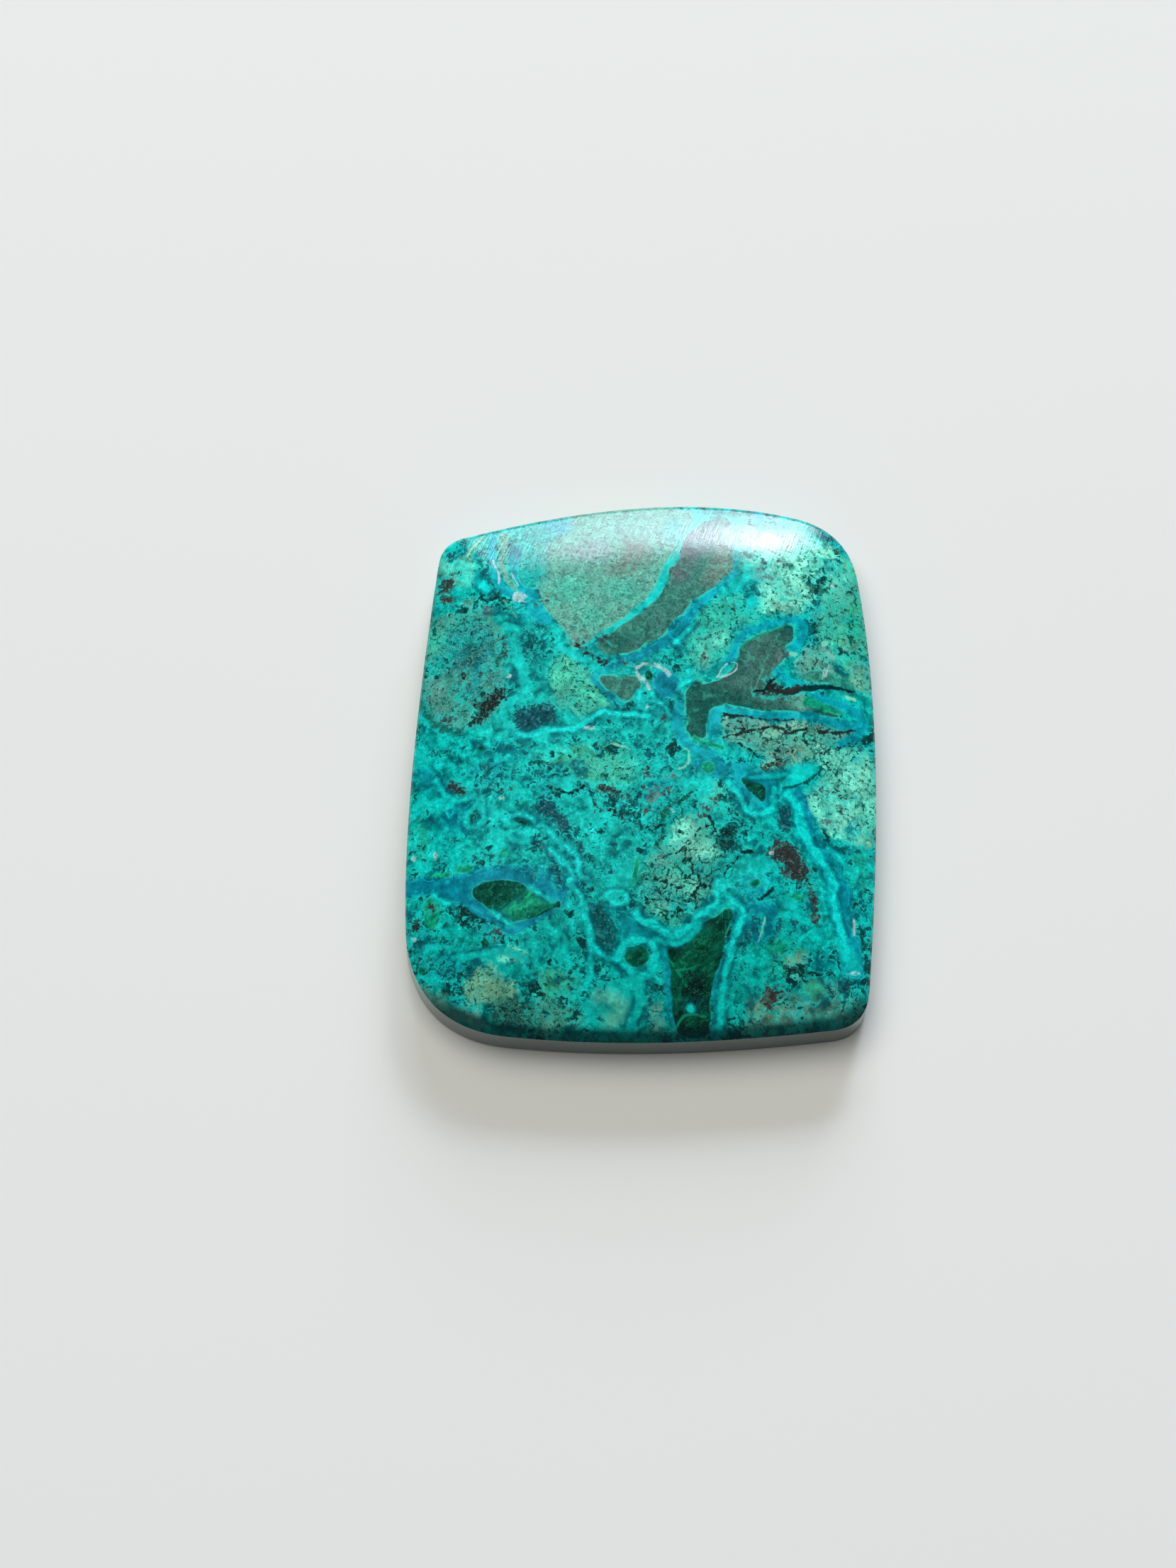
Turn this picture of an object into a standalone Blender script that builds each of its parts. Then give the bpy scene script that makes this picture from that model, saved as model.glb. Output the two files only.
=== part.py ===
"""A cushion-cut chrysocolla cabochon: one polished stone, lying on its flat back.

The stone is built as a lapidary cuts it. The outline comes first: four bowed sides that meet in
corners of different roundness. The wall leans in a little from the bevelled back edge, up to a crisp
edge that is just broken, and inside this edge the face is a low dome.

Metres, +Z up, +Y along the length, towards the end that bows out more. The origin is the middle of
the back. Distances in the code are in millimetres until they become mesh points.
Run with: blender --background --python part.py
"""

import math

import bmesh
import bpy
from mathutils import Vector
from mathutils.geometry import interpolate_bezier

MM = 0.001

# Driving dimensions, in millimetres
WIDTH = 30.0
LENGTH = 35.8
THICKNESS = 6.0
EDGE_HEIGHT = 3.3  # where the wall ends and the dome starts
EDGE_BEVEL = 0.15  # how far the edge round the face is broken
BACK_BEVEL = 0.35  # the small chamfer that keeps the back edge from chipping
WALL_DRAFT = math.radians(4)  # how far the wall leans in, so that a bezel can hold the stone

DOME_SPREAD = 3.2  # a larger spread makes the dome's middle flatter and its slope at the edge steeper

# Each corner as shares of half the width and half the length, and how many millimetres its rounding reaches
CORNERS = {
    "front_right": (0.922, -0.940, 2.2),
    "back_right": (0.906, 0.886, 3.0),
    "back_left": (-0.878, 0.850, 1.5),
    "front_left": (-0.935, -0.930, 5.2),
}
# Where each side, from the corner of the same place in the list above to the next one, bows out furthest
BELLIES = {
    "right": (1.0, 0.12),
    "back": (0.13, 1.0),
    "left": (-1.0, -0.28),
    "front": (-0.08, -1.0),
}

SIDE_SAMPLES = 200  # points along each bowed side before its ends are rounded off
CORNER_SAMPLES = 24  # points along each rounded corner
OUTLINE_POINTS = 120  # points that are kept, the same distance apart
DOME_RINGS = 16
RING_CROWDING = 1.5  # above 1, the dome's rings lie closer together towards the edge
APEX_SHARE = 0.06  # the last ring, closed by one small flat facet
SHARP_ANGLE = math.radians(35)  # edges that turn more than this stay crisp

TURQUOISE = (0.0, 0.33, 0.30, 1.0)


def remove_old_objects():
    for thing in list(bpy.data.objects):
        bpy.data.objects.remove(thing, do_unlink=True)


def placed(share_x, share_y):
    """A point given in shares of half the width and half the length, in millimetres."""
    return Vector((share_x * WIDTH / 2, share_y * LENGTH / 2, 0.0))


def bowed(start, belly, end, count):
    """Points of the quadratic curve from start to end that passes through belly half way."""
    pull = 2 * belly - (start + end) / 2
    return curve_towards(start, pull, end, count)


def curve_towards(start, pull, end, count):
    """Points of the quadratic curve from start to end that leans towards pull."""
    return interpolate_bezier(start, start.lerp(pull, 2 / 3), end.lerp(pull, 2 / 3), end, count)


def trimmed(points, cut_start, cut_end):
    """The points that lie further than these distances from the curve's ends."""
    first, last = points[0], points[-1]
    return [p for p in points if (p - first).length > cut_start and (p - last).length > cut_end]


def evenly_spaced(points, count):
    """The closed line through the points, as count points the same distance apart."""
    loop = points + points[:1]
    steps = [(b - a).length for a, b in zip(loop, loop[1:])]
    spacing = sum(steps) / count
    spread, walked, index = [], 0.0, 0
    for k in range(count):
        target = k * spacing
        while walked + steps[index] < target:
            walked += steps[index]
            index += 1
        share = (target - walked) / steps[index]
        spread.append(loop[index].lerp(loop[index + 1], share))
    return spread


def outline():
    """The back edge of the stone, anticlockwise seen from above: bowed sides joined by rounded corners."""
    corners = [(placed(x, y), reach) for x, y, reach in CORNERS.values()]
    bellies = [placed(x, y) for x, y in BELLIES.values()]
    sides = []
    for k, belly in enumerate(bellies):
        (start, start_reach), (end, end_reach) = corners[k], corners[(k + 1) % len(corners)]
        side = bowed(start, belly, end, SIDE_SAMPLES)
        sides.append(trimmed(side, start_reach, end_reach))
    points = []
    for k, side in enumerate(sides):
        corner = corners[k][0]
        points += curve_towards(sides[k - 1][-1], corner, side[0], CORNER_SAMPLES)[1:-1]
        points += side
    return evenly_spaced(points, OUTLINE_POINTS)


def moved_in(points, distance):
    """The outline moved inwards by the same distance all round."""
    inner = []
    for k, point in enumerate(points):
        along = (points[(k + 1) % len(points)] - points[k - 1]).normalized()
        inwards = Vector((-along.y, along.x, 0.0))
        inner.append(point + inwards * distance)
    return inner


def dome_height(share):
    """The height of the face at a share of the way from the middle to its edge."""
    return EDGE_HEIGHT + (THICKNESS - EDGE_HEIGHT) * (1 - share**DOME_SPREAD)


def wall_rings():
    """The rings from the flat back up to the face's edge, each as its points and its height."""
    base = outline()
    wall_top = EDGE_HEIGHT - EDGE_BEVEL
    lean = (wall_top - BACK_BEVEL) * math.tan(WALL_DRAFT)
    return [
        (moved_in(base, BACK_BEVEL), 0.0),
        (base, BACK_BEVEL),
        (moved_in(base, lean), wall_top),
        (moved_in(base, lean + EDGE_BEVEL), EDGE_HEIGHT),
    ]


def dome_rings(edge):
    """The rings from the face's edge to the top. They crowd towards the edge, where the face turns most."""
    rings = []
    for k in range(1, DOME_RINGS + 1):
        share = 1 - (1 - APEX_SHARE) * (k / DOME_RINGS) ** RING_CROWDING
        rings.append(([point * share for point in edge], dome_height(share)))
    return rings


def raise_face(bm, face, points, height):
    """Extrudes the face and moves its corners to the next ring."""
    face = bmesh.ops.extrude_discrete_faces(bm, faces=[face])["faces"][0]
    for corner, point in zip(face.verts, points):
        corner.co = Vector((point.x, point.y, height)) * MM
    return face


def polished_stone():
    """The stone's mesh: a face the size of the back, extruded ring by ring to the top, and the back."""
    (back, floor), *walls = wall_rings()
    bm = bmesh.new()
    corners = [bm.verts.new(Vector((p.x, p.y, floor)) * MM) for p in back]
    face = bm.faces.new(corners)
    for points, height in walls + dome_rings(walls[-1][0]):
        face = raise_face(bm, face, points, height)
    bm.faces.new(reversed(corners))
    bmesh.ops.recalc_face_normals(bm, faces=bm.faces)
    mesh = bpy.data.meshes.new("chrysocolla_cabochon")
    bm.to_mesh(mesh)
    bm.free()
    mesh.shade_smooth()
    mesh.set_sharp_from_angle(angle=SHARP_ANGLE)
    return mesh


def polished_chrysocolla():
    material = bpy.data.materials.new("polished_chrysocolla")
    material.use_nodes = True
    shader = material.node_tree.nodes["Principled BSDF"]
    shader.inputs["Base Color"].default_value = TURQUOISE
    shader.inputs["Roughness"].default_value = 0.15
    shader.inputs["Metallic"].default_value = 0.0
    return material


def main():
    remove_old_objects()
    collection = bpy.data.collections.new("chrysocolla specimen")
    bpy.context.scene.collection.children.link(collection)
    stone = bpy.data.objects.new("chrysocolla_cabochon", polished_stone())
    stone.data.materials.append(polished_chrysocolla())
    collection.objects.link(stone)


main()
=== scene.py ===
"""A polished chrysocolla cabochon on a pale studio floor.

The stone is one mesh laid over the frame's solid. Its markings are drawn as strokes, areas and spots
in millimetres, seen from above, and kept on the mesh as distances and tints that the material reads.
"""

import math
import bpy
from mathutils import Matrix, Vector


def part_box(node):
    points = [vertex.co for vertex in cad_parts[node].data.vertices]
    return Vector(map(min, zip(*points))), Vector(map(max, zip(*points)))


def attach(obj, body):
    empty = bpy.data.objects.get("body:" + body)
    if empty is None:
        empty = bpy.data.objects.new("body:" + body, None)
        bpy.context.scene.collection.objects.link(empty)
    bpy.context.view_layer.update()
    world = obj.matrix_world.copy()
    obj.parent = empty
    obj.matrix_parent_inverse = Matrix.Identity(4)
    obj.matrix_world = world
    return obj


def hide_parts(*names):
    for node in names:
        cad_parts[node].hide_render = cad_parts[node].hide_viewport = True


bl_info = {
    "name": "Chrysocolla Cabochon",
    "version": (1, 0, 0),
    "blender": (4, 5, 0),
    "location": "3D View > Sidebar > Chrysocolla",
    "description": "Models a polished chrysocolla cabochon and the studio it lies in",
    "category": "Mesh",
}

from types import SimpleNamespace

import bmesh
import bpy
import numpy as np
from mathutils import Quaternion, Vector, noise

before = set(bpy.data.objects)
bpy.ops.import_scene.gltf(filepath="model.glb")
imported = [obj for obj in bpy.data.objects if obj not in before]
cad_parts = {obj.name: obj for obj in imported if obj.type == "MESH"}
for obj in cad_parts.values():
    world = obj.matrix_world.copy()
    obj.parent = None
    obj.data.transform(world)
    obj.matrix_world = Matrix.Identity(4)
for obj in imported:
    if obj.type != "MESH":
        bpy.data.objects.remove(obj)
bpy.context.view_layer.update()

MM = 0.001
STONE_NODE = "chrysocolla_cabochon"

# The stone's profile, in millimetres, as the frame's solid has it
EDGE_HEIGHT = 3.3  # the face's edge
EDGE_BEVEL = 0.15
BACK_BEVEL = 0.35
DOME_SPREAD = 3.2
WALL_TOP = EDGE_HEIGHT - EDGE_BEVEL

# The mesh
FACE_CELLS = 280  # cells across the domed face, each about 0.12 mm
BACK_CELLS = 80
BACK_SHARE = 0.985  # how far the back's grid reaches, before the bridge to the bevel
EDGE_ROWS = 2
WALL_ROWS = 8
OUTLINE_FINENESS = 16  # points that the curve through the frame's outline has between two of its own
CREASE_ANGLE = math.radians(30)
SAME_HEIGHT = 0.001  # millimetres by which two points of one ring of the frame's may differ
NEAR_BACK = 0.01  # millimetres above the back up to which an edge belongs to it

# How the markings run down into the stone, below the face
DIP = (0.55, -0.4)  # sideways shift in x and y for each millimetre down
DEEP_WANDER = 0.7  # and how far they wander, at the back, in millimetres
WANDER_LENGTH = 4.0
SHAKES = ((1.5, 0.14), (0.45, 0.07))  # the length and the reach, in millimetres, of what shakes the drawing
SHAKE_SEED = 7  # the drawing is shaken the same way every time

FAR = 9.0  # millimetres: further from a marking than this, its distance no longer matters


# --- Colours -------------------------------------------------------------------------------------

PALETTE = {
    "turquoise": "#02AEA4",
    "bright": "#08D0C4",
    "teal": "#00868C",
    "deep teal": "#045A5C",
    "navy": "#0A4A54",
    "deep blue": "#008E9E",
    "sky": "#02A8B4",
    "jade": "#50B8A0",
    "pale": "#6CE4C4",
    "mint": "#84EACA",
    "sage": "#62AE9A",
    "grey green": "#62AC98",
    "olive": "#3A7C6E",
    "dark olive": "#145E54",
    "grey olive": "#3E7468",
    "moss": "#024E3E",
    "leaf": "#0BA67E",
    "brown": "#302E2E",
    "umber": "#1E1D1E",
    "rust": "#42322E",
    "plum": "#566C6C",
    "ochre": "#74B890",
    "beige": "#7CBC9C",
    "cream": "#96F4C4",
    "white": "#C0E0DE",
    "ink": "#0A1C1E",
    "lace": "#08E6DC",
    "azure": "#008A9E",
    "lichen": "#348C7A",
    "fern": "#067050",
    "spring": "#3EC49E",
    "sea": "#1AB49C",
    "dove": "#7A9C98",
    "taupe": "#6C8A7C",
    "bark": "#5C5650",
}


def linear(hex_colour):
    """The sRGB hex value as the linear colour that Blender's sockets hold."""
    parts = [int(hex_colour[k:k + 2], 16) / 255 for k in (1, 3, 5)]
    return tuple(p / 12.92 if p <= 0.04045 else ((p + 0.055) / 1.055) ** 2.4 for p in parts)


# --- Markings ------------------------------------------------------------------------------------

def area(colour, *outline):
    """A patch with a rounded outline."""
    return "area", colour, outline


def stroke(colour, width, *route):
    """A line of a width, in millimetres, or of one that changes evenly from the first value to the last."""
    return "stroke", colour, (width, route)


def spot(colour, x, y, length, breadth=None, turn=0):
    """An oval that is turned by some degrees from lying along X."""
    return "spot", colour, (x, y, length, breadth or length, turn)


# Broad soft colours of the ground, from one painted first to the one painted last
GROUND = [
    # top left
    spot("deep teal", -12.3, 14.1, 1.6, 1.2), spot("turquoise", -9.4, 15.2, 2.4, 2.0),
    spot("pale", -11.7, 12.9, 3.0, 2.0, -20), spot("teal", -10.0, 12.2, 1.2, 1.6, 70),
    spot("turquoise", -10.3, 10.6, 1.6, 1.2), spot("grey green", -11.0, 10.2, 1.6, 1.0),
    spot("plum", -10.0, 9.7, 1.4, 0.7), spot("turquoise", -8.6, 10.0, 2.4, 1.6, -60),
    spot("teal", -7.2, 9.4, 2.6, 1.6, -60), spot("deep teal", -6.8, 7.6, 1.6, 2.6, 0),
    # top right
    spot("grey green", 8.0, 15.5, 5.0, 3.0), spot("turquoise", 7.5, 13.5, 3.6, 3.0),
    spot("turquoise", 11.6, 12.8, 1.6, 3.4, 10), spot("teal", 12.6, 14.6, 1.8, 3.0, 20),
    spot("grey green", 10.9, 13.2, 1.4, 2.4, 10), spot("leaf", 13.0, 10.8, 1.8, 2.2),
    spot("teal", 13.5, 8.6, 1.4, 3.2), spot("sage", 12.2, 9.0, 2.0, 2.4),
    spot("turquoise", 5.2, 8.6, 5.5, 3.2, 40), spot("bright", 4.4, 7.4, 3.0, 2.0, 40),
    spot("bright", 3.4, 5.9, 4.2, 1.6, 25), spot("turquoise", 6.6, 10.4, 2.8, 1.8, 30),
    # middle
    spot("turquoise", -12.5, 0.8, 4.5, 2.2), spot("turquoise", -8.0, 0.4, 5.0, 2.4),
    spot("turquoise", -4.0, 0.0, 6.0, 2.4), spot("spring", -3.2, -0.6, 5.4, 2.8, -12),
    spot("bright", -5.2, 1.0, 4.4, 1.2, 5), spot("turquoise", 1.0, 1.2, 3.0, 3.4),
    spot("bright", 0.8, 2.7, 1.6, 1.2), spot("turquoise", 2.6, -1.8, 4.4, 3.0),
    spot("teal", 1.4, -2.4, 2.2, 2.0), spot("sky", 6.4, -2.1, 3.6, 2.8, -20),
    spot("deep blue", 4.3, -0.9, 2.6, 1.6, 10), spot("turquoise", 5.0, -2.8, 3.0, 2.2),
    spot("pale", 4.3, -2.6, 1.5, 1.4), spot("sky", 1.4, 4.6, 1.8, 1.8),
    # left middle
    spot("deep blue", -13.7, -1.2, 1.9, 1.7), spot("turquoise", -10.6, -4.6, 5.0, 3.6),
    spot("sky", -11.6, -3.9, 1.8, 2.0), spot("turquoise", -8.2, -3.4, 3.2, 2.6),
    spot("teal", -5.6, -1.8, 3.0, 1.8), spot("turquoise", -9.0, -6.0, 5.0, 2.6),
    spot("turquoise", -12.8, -6.0, 3.0, 2.4), spot("teal", -4.8, -7.2, 2.4, 2.6, 60),
    spot("sky", -11.6, -7.9, 6.0, 1.2, -3), spot("sky", -7.4, -7.7, 5.0, 1.1, -8),
    spot("sky", -9.6, -10.5, 3.6, 1.4, -35),
    # lower left
    spot("turquoise", -12.0, -12.4, 3.8, 3.6), spot("teal", -13.7, -11.4, 1.6, 2.2),
    spot("turquoise", -6.2, -11.6, 5.0, 3.0), spot("turquoise", -5.4, -14.4, 4.0, 3.0),
    spot("deep teal", -8.0, -15.9, 3.6, 2.2, -10), spot("deep blue", -10.9, -15.5, 1.5, 1.3),
    # centre and bottom
    spot("turquoise", -1.4, -6.4, 3.0, 3.6), spot("bright", -1.4, -8.0, 1.6, 2.0),
    spot("teal", -0.9, -10.6, 2.4, 2.2), spot("turquoise", -3.8, -12.8, 2.2, 4.0),
    spot("turquoise", -2.2, -15.2, 3.6, 3.0), spot("turquoise", 3.0, -11.4, 2.6, 1.2),
    spot("turquoise", 0.6, -15.2, 2.4, 3.4), spot("bright", -4.6, -13.6, 3.0, 1.8),
    spot("jade", -5.0, -15.9, 2.6, 1.6), spot("bright", -1.0, -15.0, 1.4, 2.4),
    # right middle and lower right
    spot("turquoise", 6.6, -6.4, 4.0, 3.6), spot("bright", 6.9, -7.3, 1.8, 1.2),
    spot("sky", 7.0, -8.5, 2.6, 1.6), spot("turquoise", 9.2, -8.8, 3.0, 2.2),
    spot("deep blue", 6.8, -10.8, 2.8, 3.0), spot("turquoise", 9.3, -10.8, 2.4, 3.0),
    spot("turquoise", 12.0, -7.4, 2.6, 4.0), spot("sea", 13.6, -7.0, 1.2, 3.4),
    spot("teal", 13.2, -9.6, 1.2, 3.2), spot("leaf", 7.9, -12.7, 3.6, 1.8),
    spot("beige", 9.4, -13.2, 1.5, 1.4), spot("teal", 10.9, -13.5, 2.4, 2.0),
    spot("turquoise", 12.4, -13.6, 2.0, 1.4), spot("grey green", 12.0, -15.6, 3.0, 2.0, -30),
    spot("sage", 9.0, -16.0, 3.4, 1.9), spot("turquoise", 6.3, -13.6, 2.6, 3.4),
    spot("beige", 6.8, -16.2, 2.6, 1.8), spot("spring", 10.4, -14.5, 1.4, 1.0),
    spot("spring", 12.7, 7.0, 2.4, 4.2), spot("leaf", 13.6, 9.6, 1.6, 4.0),
    spot("bright", -9.0, -4.4, 2.6, 0.9, -20), spot("bright", -8.6, -5.6, 3.0, 0.8, 10),
    spot("teal", -8.6, 0.2, 2.4, 1.4), spot("azure", -9.6, -1.0, 1.8, 1.6),
    spot("azure", -12.0, -13.4, 2.4, 1.4), spot("mint", 9.0, 14.0, 4.6, 3.2),
    spot("pale", 11.4, 11.6, 2.4, 3.6), spot("spring", 12.9, 8.2, 2.2, 4.6),
    spot("bright", -3.4, -14.4, 4.0, 2.4), spot("spring", -5.6, -14.4, 2.6, 1.8),
    spot("bright", -7.0, -12.2, 3.6, 1.2), spot("bright", 3.4, -2.2, 2.0, 1.6),
    spot("sea", 5.6, -3.2, 2.6, 1.6), spot("bright", -0.6, -3.8, 2.4, 1.6),
    spot("bright", -3.0, -4.6, 2.6, 1.8), spot("turquoise", 5.6, -15.6, 1.6, 2.8),
    spot("sea", -13.9, -5.2, 1.2, 2.6),
]

# Pieces of older stone that the blue copper mineral has grown round, pale ones first
CLASTS = [
    area("spring", (11.2, 8.2), (12.4, 7.8), (13.4, 7.2), (15.0, 7.2), (15.0, 12.0), (14.0, 14.2),
         (12.8, 13.6), (11.8, 11.8), (11.3, 9.8)),
    spot("leaf", 13.8, 9.6, 1.2, 4.4), spot("ochre", 13.3, 7.7, 0.9, 0.8),
    area("lichen", (-14.6, 5.2), (-13.9, 3.9), (-13.4, 2.9), (-12.7, 2.3), (-11.4, 1.95), (-10.6, 1.95),
         (-9.9, 2.3), (-9.1, 2.9), (-8.6, 3.8), (-8.55, 4.6), (-9.0, 5.3), (-8.7, 6.5), (-8.5, 7.5),
         (-8.9, 8.3), (-9.5, 9.5), (-11.0, 9.7), (-13.0, 9.9), (-15.2, 9.6), (-15.3, 7.0)),
    spot("teal", -11.2, 7.3, 3.6, 3.6), spot("deep teal", -10.9, 7.0, 1.8, 2.0),
    spot("teal", -10.3, 5.0, 2.6, 2.2), spot("spring", -13.6, 8.2, 1.6, 1.6),
    spot("turquoise", -13.0, 6.4, 1.4, 1.6), spot("dove", -13.3, 4.9, 1.0, 1.0),
    spot("beige", -11.8, 2.7, 1.3, 0.7), spot("deep teal", -13.6, 3.1, 1.6, 0.5, -45),
    spot("bright", -10.6, 2.9, 0.6),
    area("spring", (-5.8, 6.0), (-4.9, 6.8), (-4.2, 6.0), (-3.5, 5.3), (-3.0, 4.4), (-2.4, 3.6),
         (-1.8, 3.0), (-1.9, 2.7), (-2.6, 2.8), (-3.2, 2.2), (-4.0, 2.4), (-4.6, 3.0), (-5.6, 3.2),
         (-5.9, 4.5)),
    area("pale", (7.0, 9.7), (7.2, 10.6), (7.4, 11.6), (8.0, 12.8), (9.2, 13.2), (10.4, 12.6),
         (10.8, 11.2), (10.6, 10.0), (9.6, 9.4), (8.2, 9.3)),
    area("sea", (2.6, 8.0), (3.6, 9.4), (5.0, 10.6), (6.4, 10.8), (7.2, 10.0), (7.6, 9.0), (6.2, 8.2),
         (5.6, 7.0), (4.8, 5.8), (3.4, 5.2), (2.6, 6.2)),
    spot("pale", 4.6, 7.5, 1.2, 0.8, 30), spot("beige", 3.9, 6.4, 0.4, 0.9),
    spot("bright", 7.0, 10.2, 1.0), spot("beige", 9.1, 10.0, 1.4, 0.8),
    spot("taupe", 8.0, 12.0, 1.2, 0.8),
    area("sage", (9.6, 5.2), (9.7, 6.2), (10.2, 7.2), (11.2, 7.9), (12.2, 7.4), (12.5, 6.2), (12.3, 5.1),
         (11.0, 4.9)),
    area("ochre", (13.2, 5.3), (13.1, 6.4), (13.9, 6.9), (14.8, 6.6), (14.9, 5.0), (13.9, 4.8)),
    area("beige", (5.2, 2.3), (6.2, 2.5), (7.4, 2.3), (7.9, 2.0), (9.0, 2.3), (10.1, 2.5), (11.9, 2.2),
         (13.7, 2.0), (12.7, 1.3), (12.1, 1.1), (11.7, 0.5), (11.1, -0.3), (10.0, -0.2), (8.9, -0.9),
         (7.2, -1.1), (7.7, -0.2), (6.8, 0.2), (5.2, 0.8), (4.9, 1.3)),
    spot("taupe", 6.4, 1.9, 2.4, 0.9), spot("sea", 10.2, 1.2, 2.0, 0.9),
    spot("taupe", 12.6, 1.8, 1.8, 0.8), spot("taupe", 8.8, 0.0, 1.4, 0.9),
    area("pale", (10.9, 0.6), (12.3, 0.9), (14.0, 1.0), (14.9, 0.2), (15.1, -3.0), (14.8, -5.4),
         (13.2, -5.3), (12.0, -4.9), (11.0, -4.5), (10.4, -3.4), (10.0, -2.6), (10.9, -1.8),
         (11.3, -0.6)),
    area("sea", (2.0, -4.2), (2.6, -4.0), (3.4, -4.0), (4.0, -4.2), (4.3, -4.9), (4.8, -6.3), (4.7, -7.0),
         (4.4, -7.8), (4.2, -8.6), (3.8, -9.5), (2.9, -10.3), (2.0, -10.9), (0.9, -10.8), (0.0, -10.3),
         (-0.4, -9.6), (-0.4, -7.9), (0.3, -6.7), (0.8, -6.0), (1.3, -5.2)),
    spot("mint", 2.7, -4.8, 1.6, 1.0), spot("mint", 3.5, -6.3, 1.5, 1.2),
    spot("mint", 2.3, -5.9, 1.2, 1.0), spot("turquoise", 0.7, -9.3, 1.8, 1.6),
    spot("bright", 2.7, -9.7, 1.3, 0.8), spot("sea", 1.4, -7.8, 1.8, 1.4),
    spot("bright", -0.1, -9.0, 0.8, 1.4), spot("taupe", 1.0, -6.6, 0.9, 1.1),
    spot("bark", 3.9, -8.3, 0.7, 0.6),
    area("ochre", (-10.7, -13.1), (-9.3, -13.1), (-9.0, -13.9), (-8.2, -14.0), (-7.6, -14.5),
         (-7.9, -15.2), (-8.6, -15.9), (-9.5, -15.6), (-10.9, -14.9), (-10.8, -14.2)),
    area("jade", (-6.5, -15.4), (-5.4, -15.2), (-4.9, -15.9), (-4.8, -17.0), (-6.4, -17.3),
         (-6.9, -16.4)),
    area("sage", (0.2, -15.3), (0.9, -15.4), (1.3, -16.2), (1.3, -17.3), (0.3, -17.4), (0.1, -16.2)),
    area("pale", (-8.7, -12.5), (-8.0, -12.25), (-7.3, -12.5), (-7.1, -12.8), (-7.9, -12.95),
         (-8.6, -12.8)),
    area("sage", (-13.8, -14.2), (-12.9, -14.7), (-12.0, -15.3), (-11, -15.8), (-9.8, -16.3),
         (-10, -16.8), (-11.4, -16.4), (-13.0, -15.4)),
    spot("mint", 9.6, 14.2, 4.0, 2.8, -10), spot("pale", 12.9, 11.9, 1.6, 2.2),
    spot("mint", 13.6, -0.6, 1.6, 2.4), spot("mint", 12.2, -3.9, 2.0, 1.6),
    spot("spring", -2.4, -0.9, 3.2, 1.7, -12), spot("dark olive", -8.0, -15.9, 3.0, 1.8, -8),
    spot("sage", -13.2, 3.6, 1.6, 0.7, -40), spot("spring", -3.6, 3.6, 1.4, 1.2),
    spot("lichen", -5.0, 3.8, 1.2, 1.6), spot("mint", 9.2, 11.5, 2.6, 2.4),
    spot("cream", 12.2, 14.2, 0.9, 1.4), spot("grey olive", -12.5, 3.2, 2.8, 1.4, -35),
    spot("grey olive", -9.6, 4.2, 1.4, 2.2), spot("deep teal", -14.3, 4.8, 0.9, 2.4, 20),
    spot("grey olive", -11.6, 5.4, 1.6, 1.4), spot("turquoise", 1.6, -9.0, 2.0, 1.8),
    spot("turquoise", 3.4, -7.6, 1.2, 1.6), spot("pale", 1.6, -8.2, 1.3, 1.1),
    spot("pale", 3.1, -8.6, 1.0, 1.0), spot("pale", 0.7, -9.7, 0.8, 0.7),
    spot("spring", -4.6, 5.2, 1.0, 1.0),
]

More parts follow.
